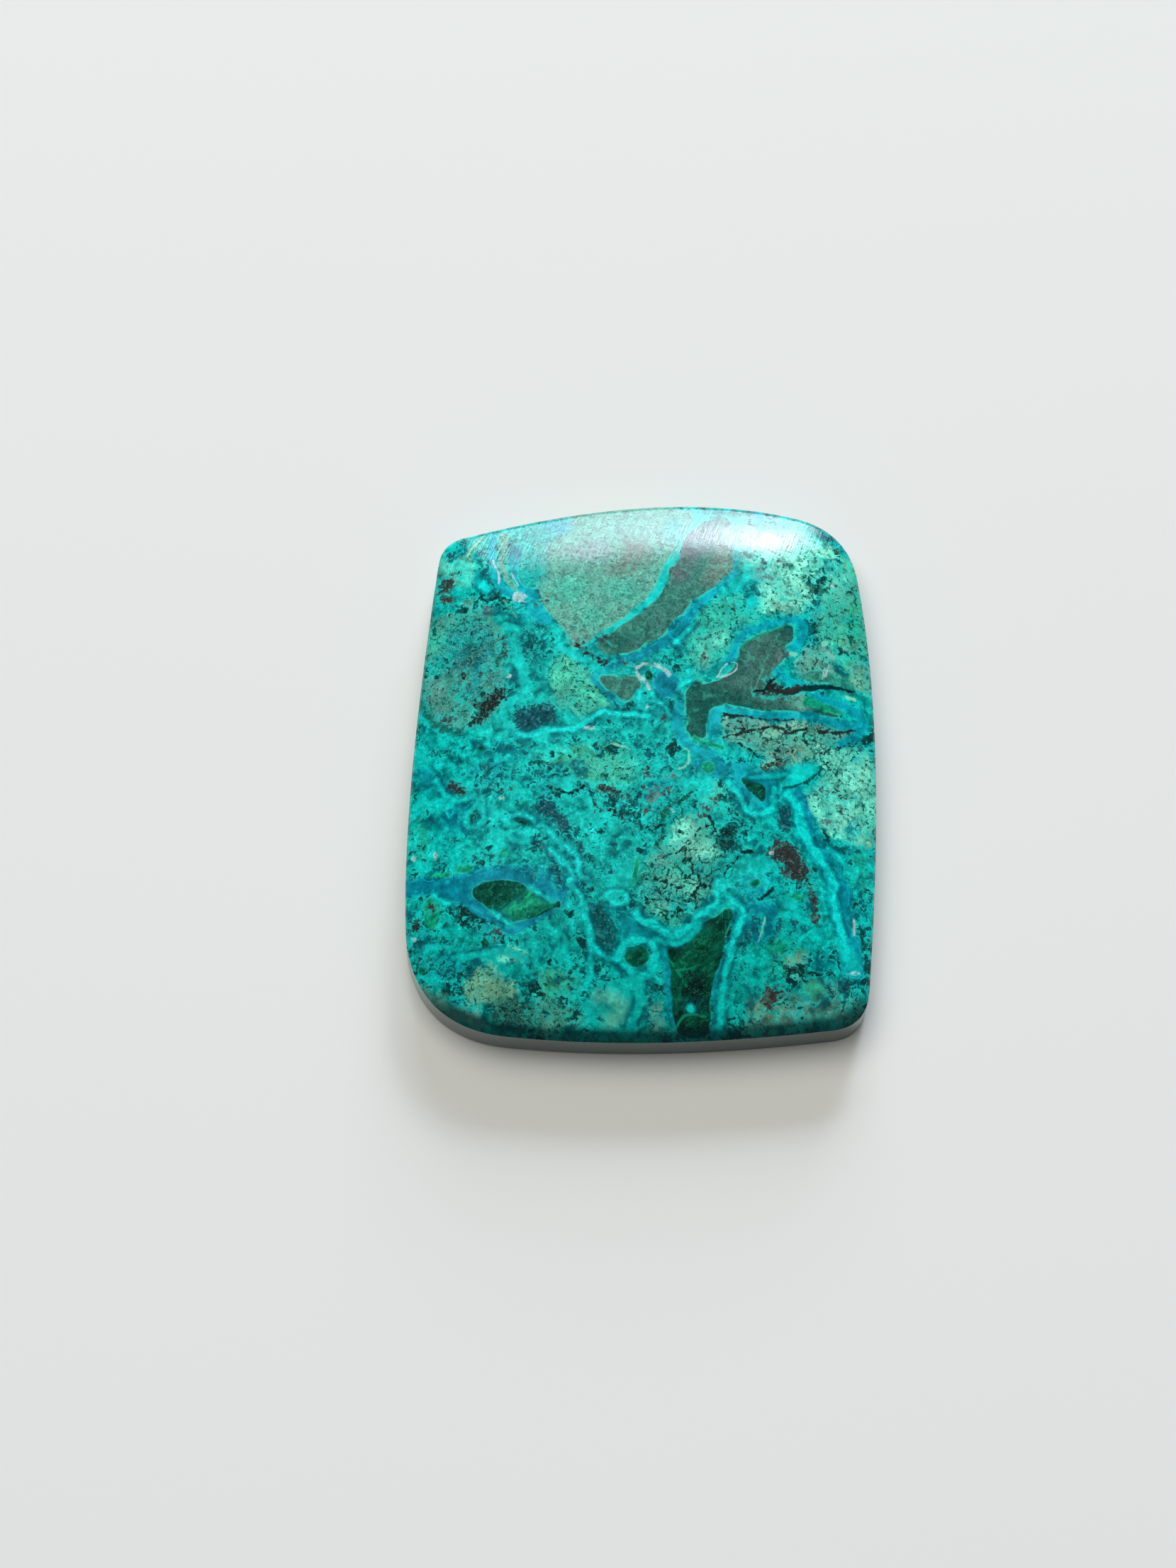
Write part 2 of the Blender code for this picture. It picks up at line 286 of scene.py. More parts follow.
# Bands of blue and turquoise chrysocolla
VEINS = [
    spot("bright", -2.2, -15.7, 2.8, 2.6),
    area("teal", (-3.7, -9.3), (-2.4, -9.6), (-1.2, -9.9), (-0.5, -10.5), (0.3, -10.9), (1.4, -11.5),
         (0.6, -11.8), (-0.8, -11.5), (-1.5, -12.1), (-2.0, -12.7), (-2.9, -12.2), (-3.3, -11.2)),
    area("azure", (-15.4, -7.5), (-14.0, -7.3), (-12.0, -7.8), (-10.0, -7.2), (-8.0, -7.1), (-6.0, -7.5),
         (-5.0, -8.2), (-4.6, -9.0), (-5.0, -9.9), (-6.2, -10.4), (-7.6, -11.3), (-8.4, -11.3),
         (-9.4, -10.6), (-11.0, -9.6), (-12.2, -8.9), (-14.0, -8.5), (-15.4, -8.7)),
    area("teal", (-14.6, -0.4), (-13.2, -0.6), (-12.8, -1.4), (-13.6, -2.0), (-14.8, -1.8)),
    area("deep blue", (5.4, -9.6), (6.4, -9.3), (8.0, -9.4), (8.3, -10.4), (7.8, -11.6), (6.6, -12.0),
         (5.8, -11.4), (5.9, -10.4)),
    area("sky", (5.2, -0.6), (6.8, -0.8), (8.2, -1.4), (8.2, -2.8), (7.2, -3.6), (6.0, -3.2),
         (5.6, -2.0)),
    area("deep blue", (3.2, -0.3), (4.4, -0.4), (5.4, -0.8), (5.2, -1.5), (4.2, -1.6), (3.2, -1.2)),
    area("azure", (0.7, 5.4), (1.6, 5.5), (2.2, 4.9), (2.1, 3.8), (1.2, 3.5), (0.7, 4.2)),
    stroke("sky", 1.0, (-8.1, 14.2), (-8.0, 13.2), (-7.8, 12.3), (-7.4, 11.3), (-7.1, 10.4), (-6.6, 9.5),
           (-6.1, 9.0)),
    stroke("sky", 0.5, (-9.6, 15.3), (-9.7, 14.5), (-9.6, 13.6), (-9.3, 12.0), (-8.9, 11.2),
           (-8.3, 10.8)),
    stroke("sky", 0.5, (7.6, 17.6), (7.8, 15.7)),
    stroke("bright", (0.9, 0.45), (3.9, 16.6), (3.0, 15.0), (2.5, 14.0), (1.8, 13.2), (1.6, 12.5),
           (1.2, 11.6), (0.8, 10.9), (0.3, 10.3), (-0.25, 9.7), (-1.05, 9.2), (-2.0, 8.3), (-2.9, 7.85),
           (-3.55, 7.4)),
    stroke("sky", (0.3, 0.5), (6.0, 16.5), (6.0, 14.0), (6.05, 13.2), (5.6, 12.0), (5.2, 11.6),
           (4.6, 10.9), (3.9, 10.3), (3.1, 9.6)),
    stroke("deep blue", (0.9, 0.5), (3.1, 9.6), (2.7, 8.9), (2.2, 8.1), (1.3, 7.3), (0.4, 6.7),
           (-0.6, 6.3), (-1.4, 6.0), (-2.2, 5.6), (-2.9, 5.2)),
    stroke("deep blue", 0.4, (-3.1, 4.95), (-2.4, 4.15), (-1.9, 3.6), (-1.3, 3.3)),
    stroke("bright", 0.5, (-5.0, 6.9), (-4.2, 6.5), (-3.3, 5.9), (-2.8, 5.6)),
    stroke("bright", (0.8, 0.35), (-8.2, 7.5), (-7.9, 6.3), (-7.5, 5.8), (-7.4, 5.0), (-7.4, 4.2),
           (-7.9, 3.75), (-8.4, 3.3), (-8.8, 2.8), (-8.7, 2.3), (-8.3, 1.7), (-8.0, 1.3)),
    stroke("sky", 0.5, (5.3, 5.9), (5.6, 6.4), (5.9, 7.0), (6.2, 7.65), (6.9, 8.25), (7.9, 8.6),
           (9.0, 8.9), (10.0, 9.1), (10.4, 8.6), (10.2, 8.0), (9.9, 7.5), (9.0, 6.8), (8.3, 6.1),
           (8.5, 5.5), (9.2, 4.9), (10.0, 4.75)),
    stroke("sky", 0.25, (10.0, 4.75), (12.8, 4.6)),
    stroke("sky", 0.6, (2.2, 3.2), (2.1, 1.6), (2.5, 0.8), (3.2, 0.2), (4.2, -0.2)),
    stroke("sky", 0.7, (4.5, 2.8), (4.45, 1.3)),
    stroke("sky", (0.4, 0.7), (5.2, 2.8), (6.2, 2.6), (7.2, 2.5), (8.2, 2.45), (9.0, 2.6), (9.9, 2.75),
           (10.9, 2.75), (11.9, 2.45), (12.9, 2.3), (14.0, 2.4)),
    stroke("sky", 0.6, (10.9, 4.0), (12.0, 3.7), (13.2, 3.5), (14.0, 3.0), (14.0, 2.1), (13.4, 1.5),
           (12.6, 1.1)),
    stroke("sky", 1.0, (9.1, -2.4), (9.55, -3.0), (9.75, -3.7), (10.0, -4.5), (10.3, -5.2), (10.8, -6.1),
           (11.2, -6.9), (11.7, -7.7), (11.9, -8.4), (11.9, -9.4)),
    stroke("azure", 0.8, (9.5, -2.2), (9.8, -2.9), (10.1, -3.8), (10.35, -4.6), (10.7, -5.5),
           (11.2, -6.4), (11.6, -7.2), (12.2, -7.9), (12.3, -8.7), (12.4, -9.4)),
    stroke("sky", (0.9, 1.5), (11.8, -9.0), (12.2, -10.5), (12.7, -11.5), (12.9, -12.6), (12.8, -13.2)),
    stroke("sky", 0.4, (1.2, -12.2), (1.3, -13.5), (1.35, -14.5), (1.5, -15.5), (1.9, -16.6)),
    stroke("sky", 0.4, (4.5, -13.2), (4.3, -14.5), (4.4, -15.5), (4.3, -17.4)),
    stroke("bright", 0.35, (5.2, -12.0), (5.1, -13.0), (4.9, -13.8), (4.9, -14.8), (4.8, -15.8),
           (4.9, -17.2)),
    spot("bright", -3.1, -15.6, 1.3, 1.2), spot("spring", 10.4, -14.5, 1.1, 0.9),
    spot("bright", 6.9, -7.2, 1.5, 1.1), spot("bright", -7.4, 12.8, 0.9),
    spot("bright", -1.4, -8.0, 1.2, 1.5), spot("bright", -5.1, -2.0, 1.6, 0.9),
    spot("bright", 12.9, -12.9, 1.2, 0.8), spot("bright", 9.0, -9.4, 1.3, 0.8),
    spot("jade", -7.9, -12.65, 1.6, 0.5, -8), spot("bright", -9.4, -3.6, 0.9),
    spot("bright", -7.7, -5.3, 0.8, 0.6), spot("bright", 7.0, 10.2, 0.9),
    area("bright", (8.8, -1.4), (9.2, -0.7), (10.2, -0.4), (11.0, -0.5), (10.9, -1.0), (10.0, -1.5)),
    stroke("sage", (0.8, 0.5), (-13.8, -14.7), (-12.6, -15.6), (-11.3, -16.15), (-10.0, -16.6)),
    stroke("pale", (0.35, 0.7), (-2.9, -15.0), (-2.3, -15.0), (-1.7, -15.2), (-1.4, -15.7), (-1.5, -16.2),
           (-2.1, -16.5)),
]

# Grey-green splinters, the largest forms on the face
FRAGMENTS = [
    area("sage", (-11.6, 13.6), (-11.3, 14.6), (-10.4, 15.6), (-10.2, 15.2), (-11.0, 14.0),
         (-11.2, 13.4)),
    stroke("sage", (0.7, 0.25), (-8.9, 15.5), (-8.9, 14.0), (-9.2, 13.2), (-8.8, 12.2), (-8.2, 11.4)),
    area("grey green", (-7.0, 17.0), (-7.0, 14.0), (-6.9, 12.2), (-6.7, 11.0), (-6.3, 10.0), (-5.6, 9.0),
         (-4.7, 7.8), (-4.0, 7.0), (-3.4, 7.3), (-2.7, 8.0), (-1.8, 8.7), (-0.9, 9.4), (-0.1, 10.0),
         (0.5, 10.8), (0.9, 11.6), (1.25, 12.5), (1.5, 13.2), (2.2, 14.0), (2.7, 15.0), (3.5, 16.6),
         (3.0, 17.6), (-3.0, 18.0)),
    area("olive", (3.9, 16.4), (3.5, 14.8), (3.1, 14.0), (2.1, 13.0), (1.9, 12.2), (1.3, 11.1),
         (0.6, 10.0), (-0.2, 9.3), (-1.06, 8.7), (-1.9, 8.1), (-2.75, 7.6), (-2.9, 7.0), (-2.4, 6.4),
         (-1.33, 6.5), (-0.39, 6.9), (0.28, 7.3), (0.96, 7.5), (1.5, 8.1), (2.2, 9.05), (2.85, 9.85),
         (3.6, 10.5), (4.3, 11.1), (5.0, 11.5), (5.4, 12.35), (5.8, 13), (5.9, 14), (5.9, 17.0)),
    area("olive", (-2.8, 5.0), (-2.1, 5.0), (-1.06, 4.95), (-0.4, 4.95), (-0.1, 4.4), (-0.45, 4.15),
         (-0.8, 3.6), (-1.2, 3.4), (-1.9, 4.0), (-2.4, 4.3)),
    area("dark olive", (2.7, 4.0), (2.9, 4.35), (3.3, 4.4), (4.0, 4.55), (4.7, 4.75), (5.4, 5.1),
         (5.9, 6.0), (6.1, 6.8), (6.5, 7.4), (7.4, 7.85), (8.2, 8.2), (8.8, 8.6), (9.4, 8.7), (9.7, 8.45),
         (9.5, 7.65), (9.1, 7.4), (8.55, 7.0), (8.1, 6.4), (7.85, 6.1), (7.9, 5.8), (8.3, 5.2),
         (8.2, 4.7), (8.4, 4.3), (10.3, 3.6), (11.4, 3.4), (12.6, 2.9), (11.6, 2.85), (10.4, 3.0),
         (9.0, 3.0), (7.9, 2.9), (6.9, 2.95), (6.0, 3.0), (5.4, 3.2), (4.5, 3.1), (4.1, 2.75), (4.0, 2.3),
         (4.0, 1.05), (3.3, 1.05), (2.85, 1.6), (2.7, 2.6), (2.6, 3.3)),
    spot("plum", 3.4, 14.4, 1.4, 3.0, -25), spot("plum", 2.3, 12.2, 1.3, 1.4, 40),
    spot("taupe", 5.2, 13.4, 1.4, 2.6), spot("brown", -2.4, 7.7, 0.7, 0.3, 30),
    spot("dark olive", -0.9, 7.5, 2.2, 0.8, 30), spot("taupe", -4.0, 7.4, 1.3, 0.8),
    spot("dove", -3.4, 14.0, 2.6, 1.4), spot("taupe", -0.4, 13.9, 2.0, 2.2),
    spot("taupe", -1.3, 12.6, 1.6, 1.2), spot("jade", -1.2, 11.0, 2.4, 1.6),
    spot("jade", -4.6, 11.2, 2.2, 2.0), spot("jade", -3.2, 9.2, 1.8, 1.4),
    spot("turquoise", -7.0, 13.0, 1.8, 3.4), spot("turquoise", -6.6, 15.8, 2.6, 2.4),
    spot("sky", -5.4, 16.2, 1.6, 1.4), spot("turquoise", 2.2, 15.6, 1.4, 1.8),
    spot("grey olive", 7.6, 6.6, 2.4, 3.6, -40), spot("grey olive", 6.6, 4.6, 4.0, 1.6, 10),
    spot("grey olive", 8.6, 3.6, 3.0, 1.1), spot("sage", 10.0, 3.5, 1.2, 1.2),
    spot("dark olive", 4.9, 3.9, 2.2, 0.8, -10), stroke("plum", 0.35, (8.4, 6.1), (9.2, 6.8)),
    area("lichen", (10.2, 4.95), (10.4, 5.7), (11.4, 5.8), (12.3, 5.6), (12.3, 5.0)),
    spot("dark olive", 3.4, 3.0, 1.4, 3.6), spot("dark olive", 3.3, 1.6, 1.2, 1.2),
    spot("taupe", 4.6, 12.2, 1.4, 1.0, 50),
]

# Green malachite: the lens, the column and the small eyes
MALACHITE = [
    area("moss", (-10.75, -8.7), (-10.3, -8.3), (-9.7, -8.1), (-9.0, -8.05), (-8.0, -8.15), (-7.3, -8.35),
         (-7.0, -8.75), (-7.7, -9.15), (-8.3, -9.5), (-8.9, -10.05), (-9.5, -9.95), (-9.8, -9.5),
         (-10.3, -9.2)),
    area("leaf", (-7.0, -8.6), (-6.4, -8.9), (-5.7, -9.4), (-5.2, -9.6), (-6.0, -9.9), (-6.9, -10.3),
         (-7.9, -10.7), (-8.25, -10.7), (-8.9, -10.15), (-8.3, -9.6), (-7.7, -9.25)),
    area("leaf", (-13.6, -9.0), (-13.0, -8.8), (-12.5, -9.2), (-12.5, -9.9), (-12.75, -10.6),
         (-13.1, -10.95), (-13.4, -10.5), (-13.6, -9.8)),
    area("moss", (1.4, -12.1), (1.9, -11.95), (2.6, -11.7), (3.2, -11.1), (3.8, -10.6), (4.7, -10.2),
         (5.2, -9.8), (5.6, -10.2), (5.0, -11.1), (4.8, -12.1), (4.6, -13.0), (4.25, -13.7),
         (4.05, -14.8), (4.0, -15.8), (3.9, -17.4), (2.0, -17.4), (1.8, -15.8), (1.6, -14.8),
         (1.6, -13.7), (1.5, -12.9)),
    spot("fern", -0.5, -12.7, 1.5, 1.2), spot("moss", -0.4, -12.75, 1.0, 0.7),
    spot("fern", 3.4, -12.0, 2.6, 1.4, 40), spot("fern", 2.1, -13.6, 0.8, 1.6),
    spot("fern", 3.9, -13.4, 0.6, 1.4), spot("fern", 2.2, -15.4, 0.9, 1.0),
    spot("leaf", -11.1, -7.2, 1.1, 0.5), stroke("leaf", 0.25, (-13.1, -7.4), (-12.1, -7.5)),
    spot("moss", -13.6, -13.3, 0.7, 0.5), spot("fern", 6.8, -8.3, 0.7, 0.4, 20),
    spot("leaf", 9.4, -9.0, 1.0, 0.5), spot("moss", -9.7, -11.85, 0.6, 0.4, -50),
    stroke("leaf", 0.3, (-0.35, -6.7), (-0.5, -7.4), (-0.65, -8.4)), spot("leaf", -8.65, -6.2, 0.4),
    area("moss", (5.9, -1.6), (6.5, -1.7), (7.2, -1.9), (7.6, -2.2), (7.65, -2.9), (7.4, -3.1),
         (6.9, -2.8), (6.3, -2.3)),
    stroke("leaf", 0.25, (3.2, 1.0), (4.0, 0.6), (4.9, 0.3)), spot("leaf", 4.0, -1.0, 0.9, 0.7),
    spot("moss", 0.35, 5.0, 0.5, 0.7), spot("moss", -10.1, 0.6, 0.5, 0.3),
    stroke("leaf", (0.75, 0.15), (10.5, 3.6), (11.4, 3.4), (12.7, 3.15)),
    stroke("moss", (0.2, 0.42), (-8.3, -10.6), (-7.2, -10.35), (-6.2, -9.95), (-5.3, -9.6)),
    spot("moss", -7.5, -4.2, 1.1, 0.5, -30), spot("ink", 3.4, -14.4, 0.8, 1.1),
    spot("navy", 2.9, -15.5, 0.9, 0.6), spot("ink", 2.1, -12.4, 0.6, 0.4), spot("ink", 2.7, -14.5, 0.4),
    spot("ink", 2.3, -16.4, 0.5, 0.8), spot("ink", 3.7, -16.8, 0.4),
    spot("ink", 3.6, -12.2, 0.7, 0.3, 40), spot("ink", 4.5, -10.9, 0.4, 0.3),
    spot("fern", 2.8, -13.2, 1.2, 0.8), spot("fern", 3.1, -16.2, 0.8, 0.8),
]

# Dark and brown spots: copper and iron oxides
OXIDES = [
    area("brown", (-13.2, 11.5), (-13.0, 12.4), (-12.3, 12.7), (-12.1, 12.0), (-12.4, 11.5)),
    spot("rust", -12.55, 11.0, 1.0, 0.7), spot("rust", -6.5, 10.15, 0.7, 0.25, 10),
    stroke("umber", 0.15, (-12.3, 12.7), (-11.7, 12.75)),
    stroke("navy", 0.25, (-9.95, 12.1), (-9.5, 11.5)), spot("navy", -10.2, 12.5, 0.4, 0.8, 0),
    spot("navy", -12.25, 14.1, 0.6, 0.6), spot("umber", -11.4, 5.5, 0.35, 0.5),
    spot("umber", -11.2, 4.1, 0.25), spot("umber", -11.2, 7.65, 0.3),
    stroke("navy", 0.12, (-14.2, 6.3), (-13.0, 6.6)),
    area("umber", (-10.76, 3.75), (-10.0, 3.7), (-9.5, 4.3), (-9.0, 4.6), (-8.6, 4.4), (-8.7, 3.75),
         (-9.1, 3.1), (-9.6, 2.7), (-10.15, 2.2), (-10.75, 2.0), (-11.15, 2.2), (-10.8, 2.55),
         (-10.3, 3.1), (-10.7, 3.4)),
    spot("brown", -8.9, 7.9, 0.5, 0.4), spot("brown", -8.75, 7.2, 0.35), spot("brown", -8.7, 6.75, 0.3),
    spot("dark olive", -9.2, 6.3, 0.5, 0.7),
    stroke("navy", 0.3, (-7.6, 7.6), (-7.7, 7.1), (-7.55, 6.8), (-7.4, 6.3)),
    area("navy", (-8.3, 2.6), (-7.9, 3.0), (-6.9, 3.2), (-6.0, 3.5), (-5.4, 2.9), (-5.3, 2.2),
         (-5.9, 1.8), (-6.6, 1.35), (-7.4, 1.4), (-7.9, 1.7)),
    stroke("umber", 0.35, (-3.6, 6.5), (-3.3, 6.4), (-2.8, 6.1), (-2.4, 5.85)),
    stroke("rust", 0.2, (-1.75, 5.7), (-0.9, 5.95)), spot("navy", 1.4, 6.4, 0.25),
    spot("navy", 1.6, 6.1, 0.2), spot("brown", -2.4, 7.65, 0.6, 0.3), spot("umber", -4.0, 7.25, 0.6, 0.4),
    spot("navy", 0.2, 2.5, 0.3), spot("navy", 0.45, 1.9, 0.3), spot("navy", -1.6, 3.15, 0.3),
    spot("brown", 1.3, 2.2, 0.4), spot("navy", -2.9, 1.05, 0.6, 0.2),
    stroke("navy", 0.2, (-0.3, 1.0), (0, 0.8)), spot("navy", -0.5, 0.4, 0.2),
    stroke("navy", 0.3, (1.2, 0.7), (0.7, 0.3), (0.6, -0.2)), spot("navy", -11.25, 1.45, 0.35),
    spot("navy", -11.25, 0.7, 0.35), spot("navy", -12.45, 0.55, 0.5, 0.25, -30),
    spot("navy", -13.3, 0.7, 0.3), spot("navy", -7.8, 1.0, 0.3), spot("navy", -7.3, 0.25, 0.3),
    spot("navy", -6.75, 0.6, 0.3), spot("rust", 3.9, 6.4, 0.3, 0.5), spot("navy", 2.3, 7.4, 0.15),
    spot("navy", 2.6, 7.2, 0.15), spot("navy", 6.5, 9.9, 0.2), spot("navy", 7.4, 9.65, 0.2),
    spot("plum", 8.0, 12.0, 0.8, 0.25), spot("plum", 7.6, 12.6, 0.4), spot("plum", 9.3, 10.8, 0.4),
    spot("navy", 10.6, 10.0, 0.25), spot("navy", 11.4, 10.35, 0.25), spot("navy", 7.5, 10.75, 0.25),
    spot("moss", 12.3, 15.4, 0.5), spot("moss", 12.7, 14.4, 0.5), spot("moss", 12.1, 13.9, 0.35),
    spot("navy", 12.3, 13.1, 0.3), spot("ochre", 13.2, 13.6, 0.3, 0.7), spot("moss", 13.5, 9.4, 0.5),
    spot("moss", 13.5, 8.2, 0.5), spot("moss", 13.7, 7.4, 0.4), spot("olive", 13.7, 6.3, 0.4),
    area("brown", (7.2, -1.1), (7.6, -0.6), (8.1, -0.4), (8.9, -0.3), (9.0, -0.6), (8.6, -0.95),
         (8.1, -0.9), (7.6, -1.15)),
    spot("navy", 6.25, 0.5, 0.3, 0.2), spot("navy", 7.5, -0.2, 0.3, 0.2),
    spot("navy", 10.6, -0.1, 0.4, 0.2), spot("brown", 11.5, -2.15, 0.5, 0.15),
    spot("brown", 12.5, -2.4, 0.4, 0.2), spot("brown", 12.4, -3.3, 0.3), spot("navy", 13.8, 0.8, 0.3),
    spot("navy", 13.4, 0.3, 0.3), spot("ochre", 13.9, -5.3, 0.4), spot("ochre", 13.7, -4.8, 0.3),
    spot("teal", 13.0, -4.5, 0.6), spot("plum", 11.6, -4.2, 0.6, 0.4), spot("navy", 6.4, -3.1, 0.4),
    spot("navy", 6.35, -4.1, 0.35, 0.2), spot("navy", 5.7, -4.25, 0.35, 0.2),
    stroke("navy", 0.15, (5.2, -3.6), (5.7, -4.0)), spot("navy", 12.2, -5.9, 0.9, 0.7),
    spot("navy", 13.25, -5.8, 0.4), spot("navy", 10.7, -5.2, 0.3), spot("navy", 11.65, -7.25, 0.3),
    area("navy", (8.3, -3.2), (9.2, -3.2), (9.3, -4.2), (9.2, -5.0), (8.5, -5.0), (8.2, -4.2)),
    area("brown", (8.0, -5.4), (8.5, -5.6), (9.3, -5.7), (9.6, -6.0), (9.7, -6.6), (10.3, -6.9),
         (10.2, -7.5), (10.0, -8.0), (9.5, -8.0), (8.7, -7.9), (8.4, -7.5), (8.5, -7.0), (7.8, -6.9),
         (7.6, -6.5), (7.8, -5.9)),
    stroke("brown", 0.5, (10.0, -8.0), (10.3, -8.6), (10.4, -9.2), (10.5, -10.4)),
    spot("navy", 6.4, -6.3, 0.6, 0.25), spot("navy", 5.8, -8.5, 0.3), spot("navy", 7.3, -9.1, 0.8, 0.2),
    spot("navy", 8.4, -8.1, 0.3), spot("navy", 7.3, -5.3, 0.3), spot("navy", 6.7, -10.8, 0.5, 1.0),
    spot("navy", 6.3, -11.4, 0.5, 0.7),
    stroke("navy", 0.2, (8.2, -10.3), (8.4, -11.0), (8.0, -11.3), (7.8, -11.9)),
    spot("navy", 9.3, -10.6, 0.4), spot("ink", 8.95, -11.3, 0.3), spot("navy", 9.2, -11.4, 0.3),
    spot("navy", 9.05, -12.15, 0.3), stroke("ink", 0.2, (10.2, -13.6), (11.4, -13.75)),
    stroke("navy", 0.25, (11.3, -14.5), (11.5, -15.0)),
    area("navy", (11.7, -14.0), (12.4, -13.7), (12.9, -14.2), (12.6, -15.0), (11.9, -14.9)),
    area("rust", (7.4, -14.0), (7.6, -14.3), (8.0, -14.6), (8.5, -14.7), (8.4, -15.0), (7.9, -15.4),
         (7.8, -15.9), (7.5, -15.9), (7.2, -15.4), (7.3, -14.8)),
    spot("navy", 6.8, -16.5, 0.5, 0.3), spot("rust", 7.3, -17.0, 0.4), spot("navy", 6.1, -12.3, 0.25),
    spot("navy", 6.1, -13.3, 0.25), spot("navy", 6.7, -13.5, 0.25), spot("navy", 5.5, -14.0, 0.25),
    spot("navy", 7.6, -13.8, 0.25), spot("navy", 7.85, -12.7, 0.25),
    area("brown", (-3.1, -2.3), (-2.6, -2.0), (-1.9, -2.2), (-1.4, -2.5), (-1.0, -2.6), (-0.85, -2.8),
         (-1.1, -3.0), (-1.6, -2.75), (-2.3, -2.7), (-2.9, -2.5)),
    spot("brown", 0.25, -1.3, 0.35, 0.55), spot("brown", 0.1, -2.25, 0.25), spot("plum", 0.9, -2.3, 0.4),
    spot("brown", 1.3, -2.6, 0.4), spot("plum", 0.55, -2.9, 0.6, 0.8), spot("brown", 1.7, -2.3, 0.3),
    spot("plum", 1.9, -1.6, 0.3), spot("brown", 2.3, -1.5, 0.25), spot("plum", 1.5, -1.5, 0.25),
    spot("rust", 0.3, -3.75, 0.3),
    stroke("navy", 0.15, (1.0, 0.0), (1.3, -0.4), (1.5, -0.9), (1.1, -1.1), (0.9, -1.4)),
    stroke("moss", 0.35, (3.1, -2.55), (2.6, -2.9), (2.2, -3.1), (1.6, -3.5), (1.2, -3.9), (1.1, -4.2),
           (1.3, -4.5), (1.1, -5.0), (0.9, -5.5), (0.8, -6.0)),
    stroke("rust", 0.22, (4.5, -3.1), (4.2, -3.5), (3.9, -3.9), (3.4, -4.1)),
    stroke("rust", 0.2, (3.7, -3.5), (3.9, -3.9)),
    stroke("umber", 0.12, (-3.0, -3.1), (-2.9, -3.8), (-2.3, -3.7), (-1.7, -3.8), (-1.4, -4.3)),
    stroke("navy", 0.2, (-4.3, -2.6), (-3.7, -2.2)), spot("navy", -0.6, -4.4, 0.4, 0.2),
    spot("navy", 0.4, -4.6, 0.4, 0.2), spot("navy", -1.9, -5.9, 0.3), spot("navy", -1.4, -6.8, 0.3),
    spot("navy", -2.0, -7.4, 0.25, 0.5), spot("navy", -2.55, -7.4, 0.25),
    area("brown", (-12.4, -1.6), (-11.8, -1.55), (-11.0, -1.9), (-10.9, -2.4), (-11.6, -2.5),
         (-12.3, -2.1)),
    stroke("navy", 0.2, (-12.9, -0.9), (-12.6, -1.8), (-12.2, -2.4), (-11.4, -2.75), (-10.6, -2.6),
           (-10.4, -1.9), (-10.3, -1.2)),
    area("deep teal", (-10.1, -0.4), (-9.5, -0.3), (-9.4, -1.2), (-9.9, -1.4)),
    spot("navy", -8.8, -1.4, 0.3), spot("navy", -7.95, -1.2, 0.3), spot("navy", -9.75, -1.8, 0.3),
    spot("navy", -7.1, -1.1, 0.3), spot("navy", -8.9, -2.5, 0.35), spot("brown", -8.25, -2.2, 0.35),
    spot("navy", -7.85, -3.0, 0.3), spot("moss", -14.3, -1.8, 0.4, 0.9),
    area("navy", (-7.0, -3.4), (-6.6, -2.9), (-6.2, -2.5), (-5.8, -2.9), (-5.4, -3.2), (-5.0, -4.0),
         (-4.3, -4.6), (-4.3, -5.9), (-4.9, -5.2), (-5.4, -4.8), (-5.9, -4.2), (-6.6, -3.9)),
    stroke("navy", (0.5, 0.3), (-3.9, -6.0), (-4.0, -6.8), (-3.7, -7.6), (-3.3, -7.9)),
    spot("moss", -10.5, -3.9, 0.7, 1.1),
    area("navy", (-7.1, -5.4), (-6.4, -5.3), (-6.0, -5.8), (-6.3, -6.4), (-6.9, -6.2)),
    stroke("navy", 0.4, (-5.8, -6.3), (-5.4, -7), (-5.2, -8), (-5.1, -8.3)),
    spot("ink", -14.25, -7.1, 0.4), spot("navy", -12.4, -5.8, 0.3), spot("navy", -11.7, -5.3, 0.3),
    spot("navy", -10.5, -6.5, 0.3), spot("navy", -11.2, -6.6, 0.25), spot("brown", -9.25, -6.85, 0.3),
    spot("navy", -6.7, -7.7, 0.25), spot("umber", -14.1, -10.5, 0.6, 0.7),
    area("navy", (-14.4, -11.4), (-13.7, -11.2), (-13.4, -11.8), (-13.9, -12.1)),
    spot("brown", -13.1, -9.3, 0.5, 0.7, 20), spot("navy", -12.6, -11.6, 0.35),
    spot("navy", -11.8, -11.6, 0.35), spot("navy", -12.4, -12.4, 0.35),
    stroke("navy", 0.2, (-13.3, -12.7), (-13.0, -13.1)), spot("navy", -12.6, -13.4, 0.3),
    spot("navy", -13.7, -14.0, 0.3), spot("navy", -11.9, -13.3, 0.3), spot("brown", -9.1, -11.3, 0.4),
    spot("navy", -7.0, -13.1, 0.3), spot("navy", -8.0, -13.05, 0.25), spot("navy", -8.15, -13.3, 0.25),
    spot("navy", -6.7, -13.6, 0.3), spot("navy", -7.7, -14.1, 0.5, 0.3), spot("navy", -6.0, -16.0, 0.4),
    spot("navy", 0.4, -14.8, 0.3), spot("navy", 0.2, -14.2, 0.3), spot("navy", 0.3, -15.4, 0.3),
    spot("navy", -0.6, -15.8, 0.3), spot("navy", 0.2, -16.2, 0.3), spot("navy", -2.75, -16.3, 0.25),
    spot("navy", -2.5, -13.9, 0.25), spot("navy", -2.5, -14.3, 0.25), spot("navy", -4.6, -14.6, 0.3),
    stroke("navy", 0.15, (-4.2, -13.1), (-3.8, -13.5), (-3.5, -13.7)),
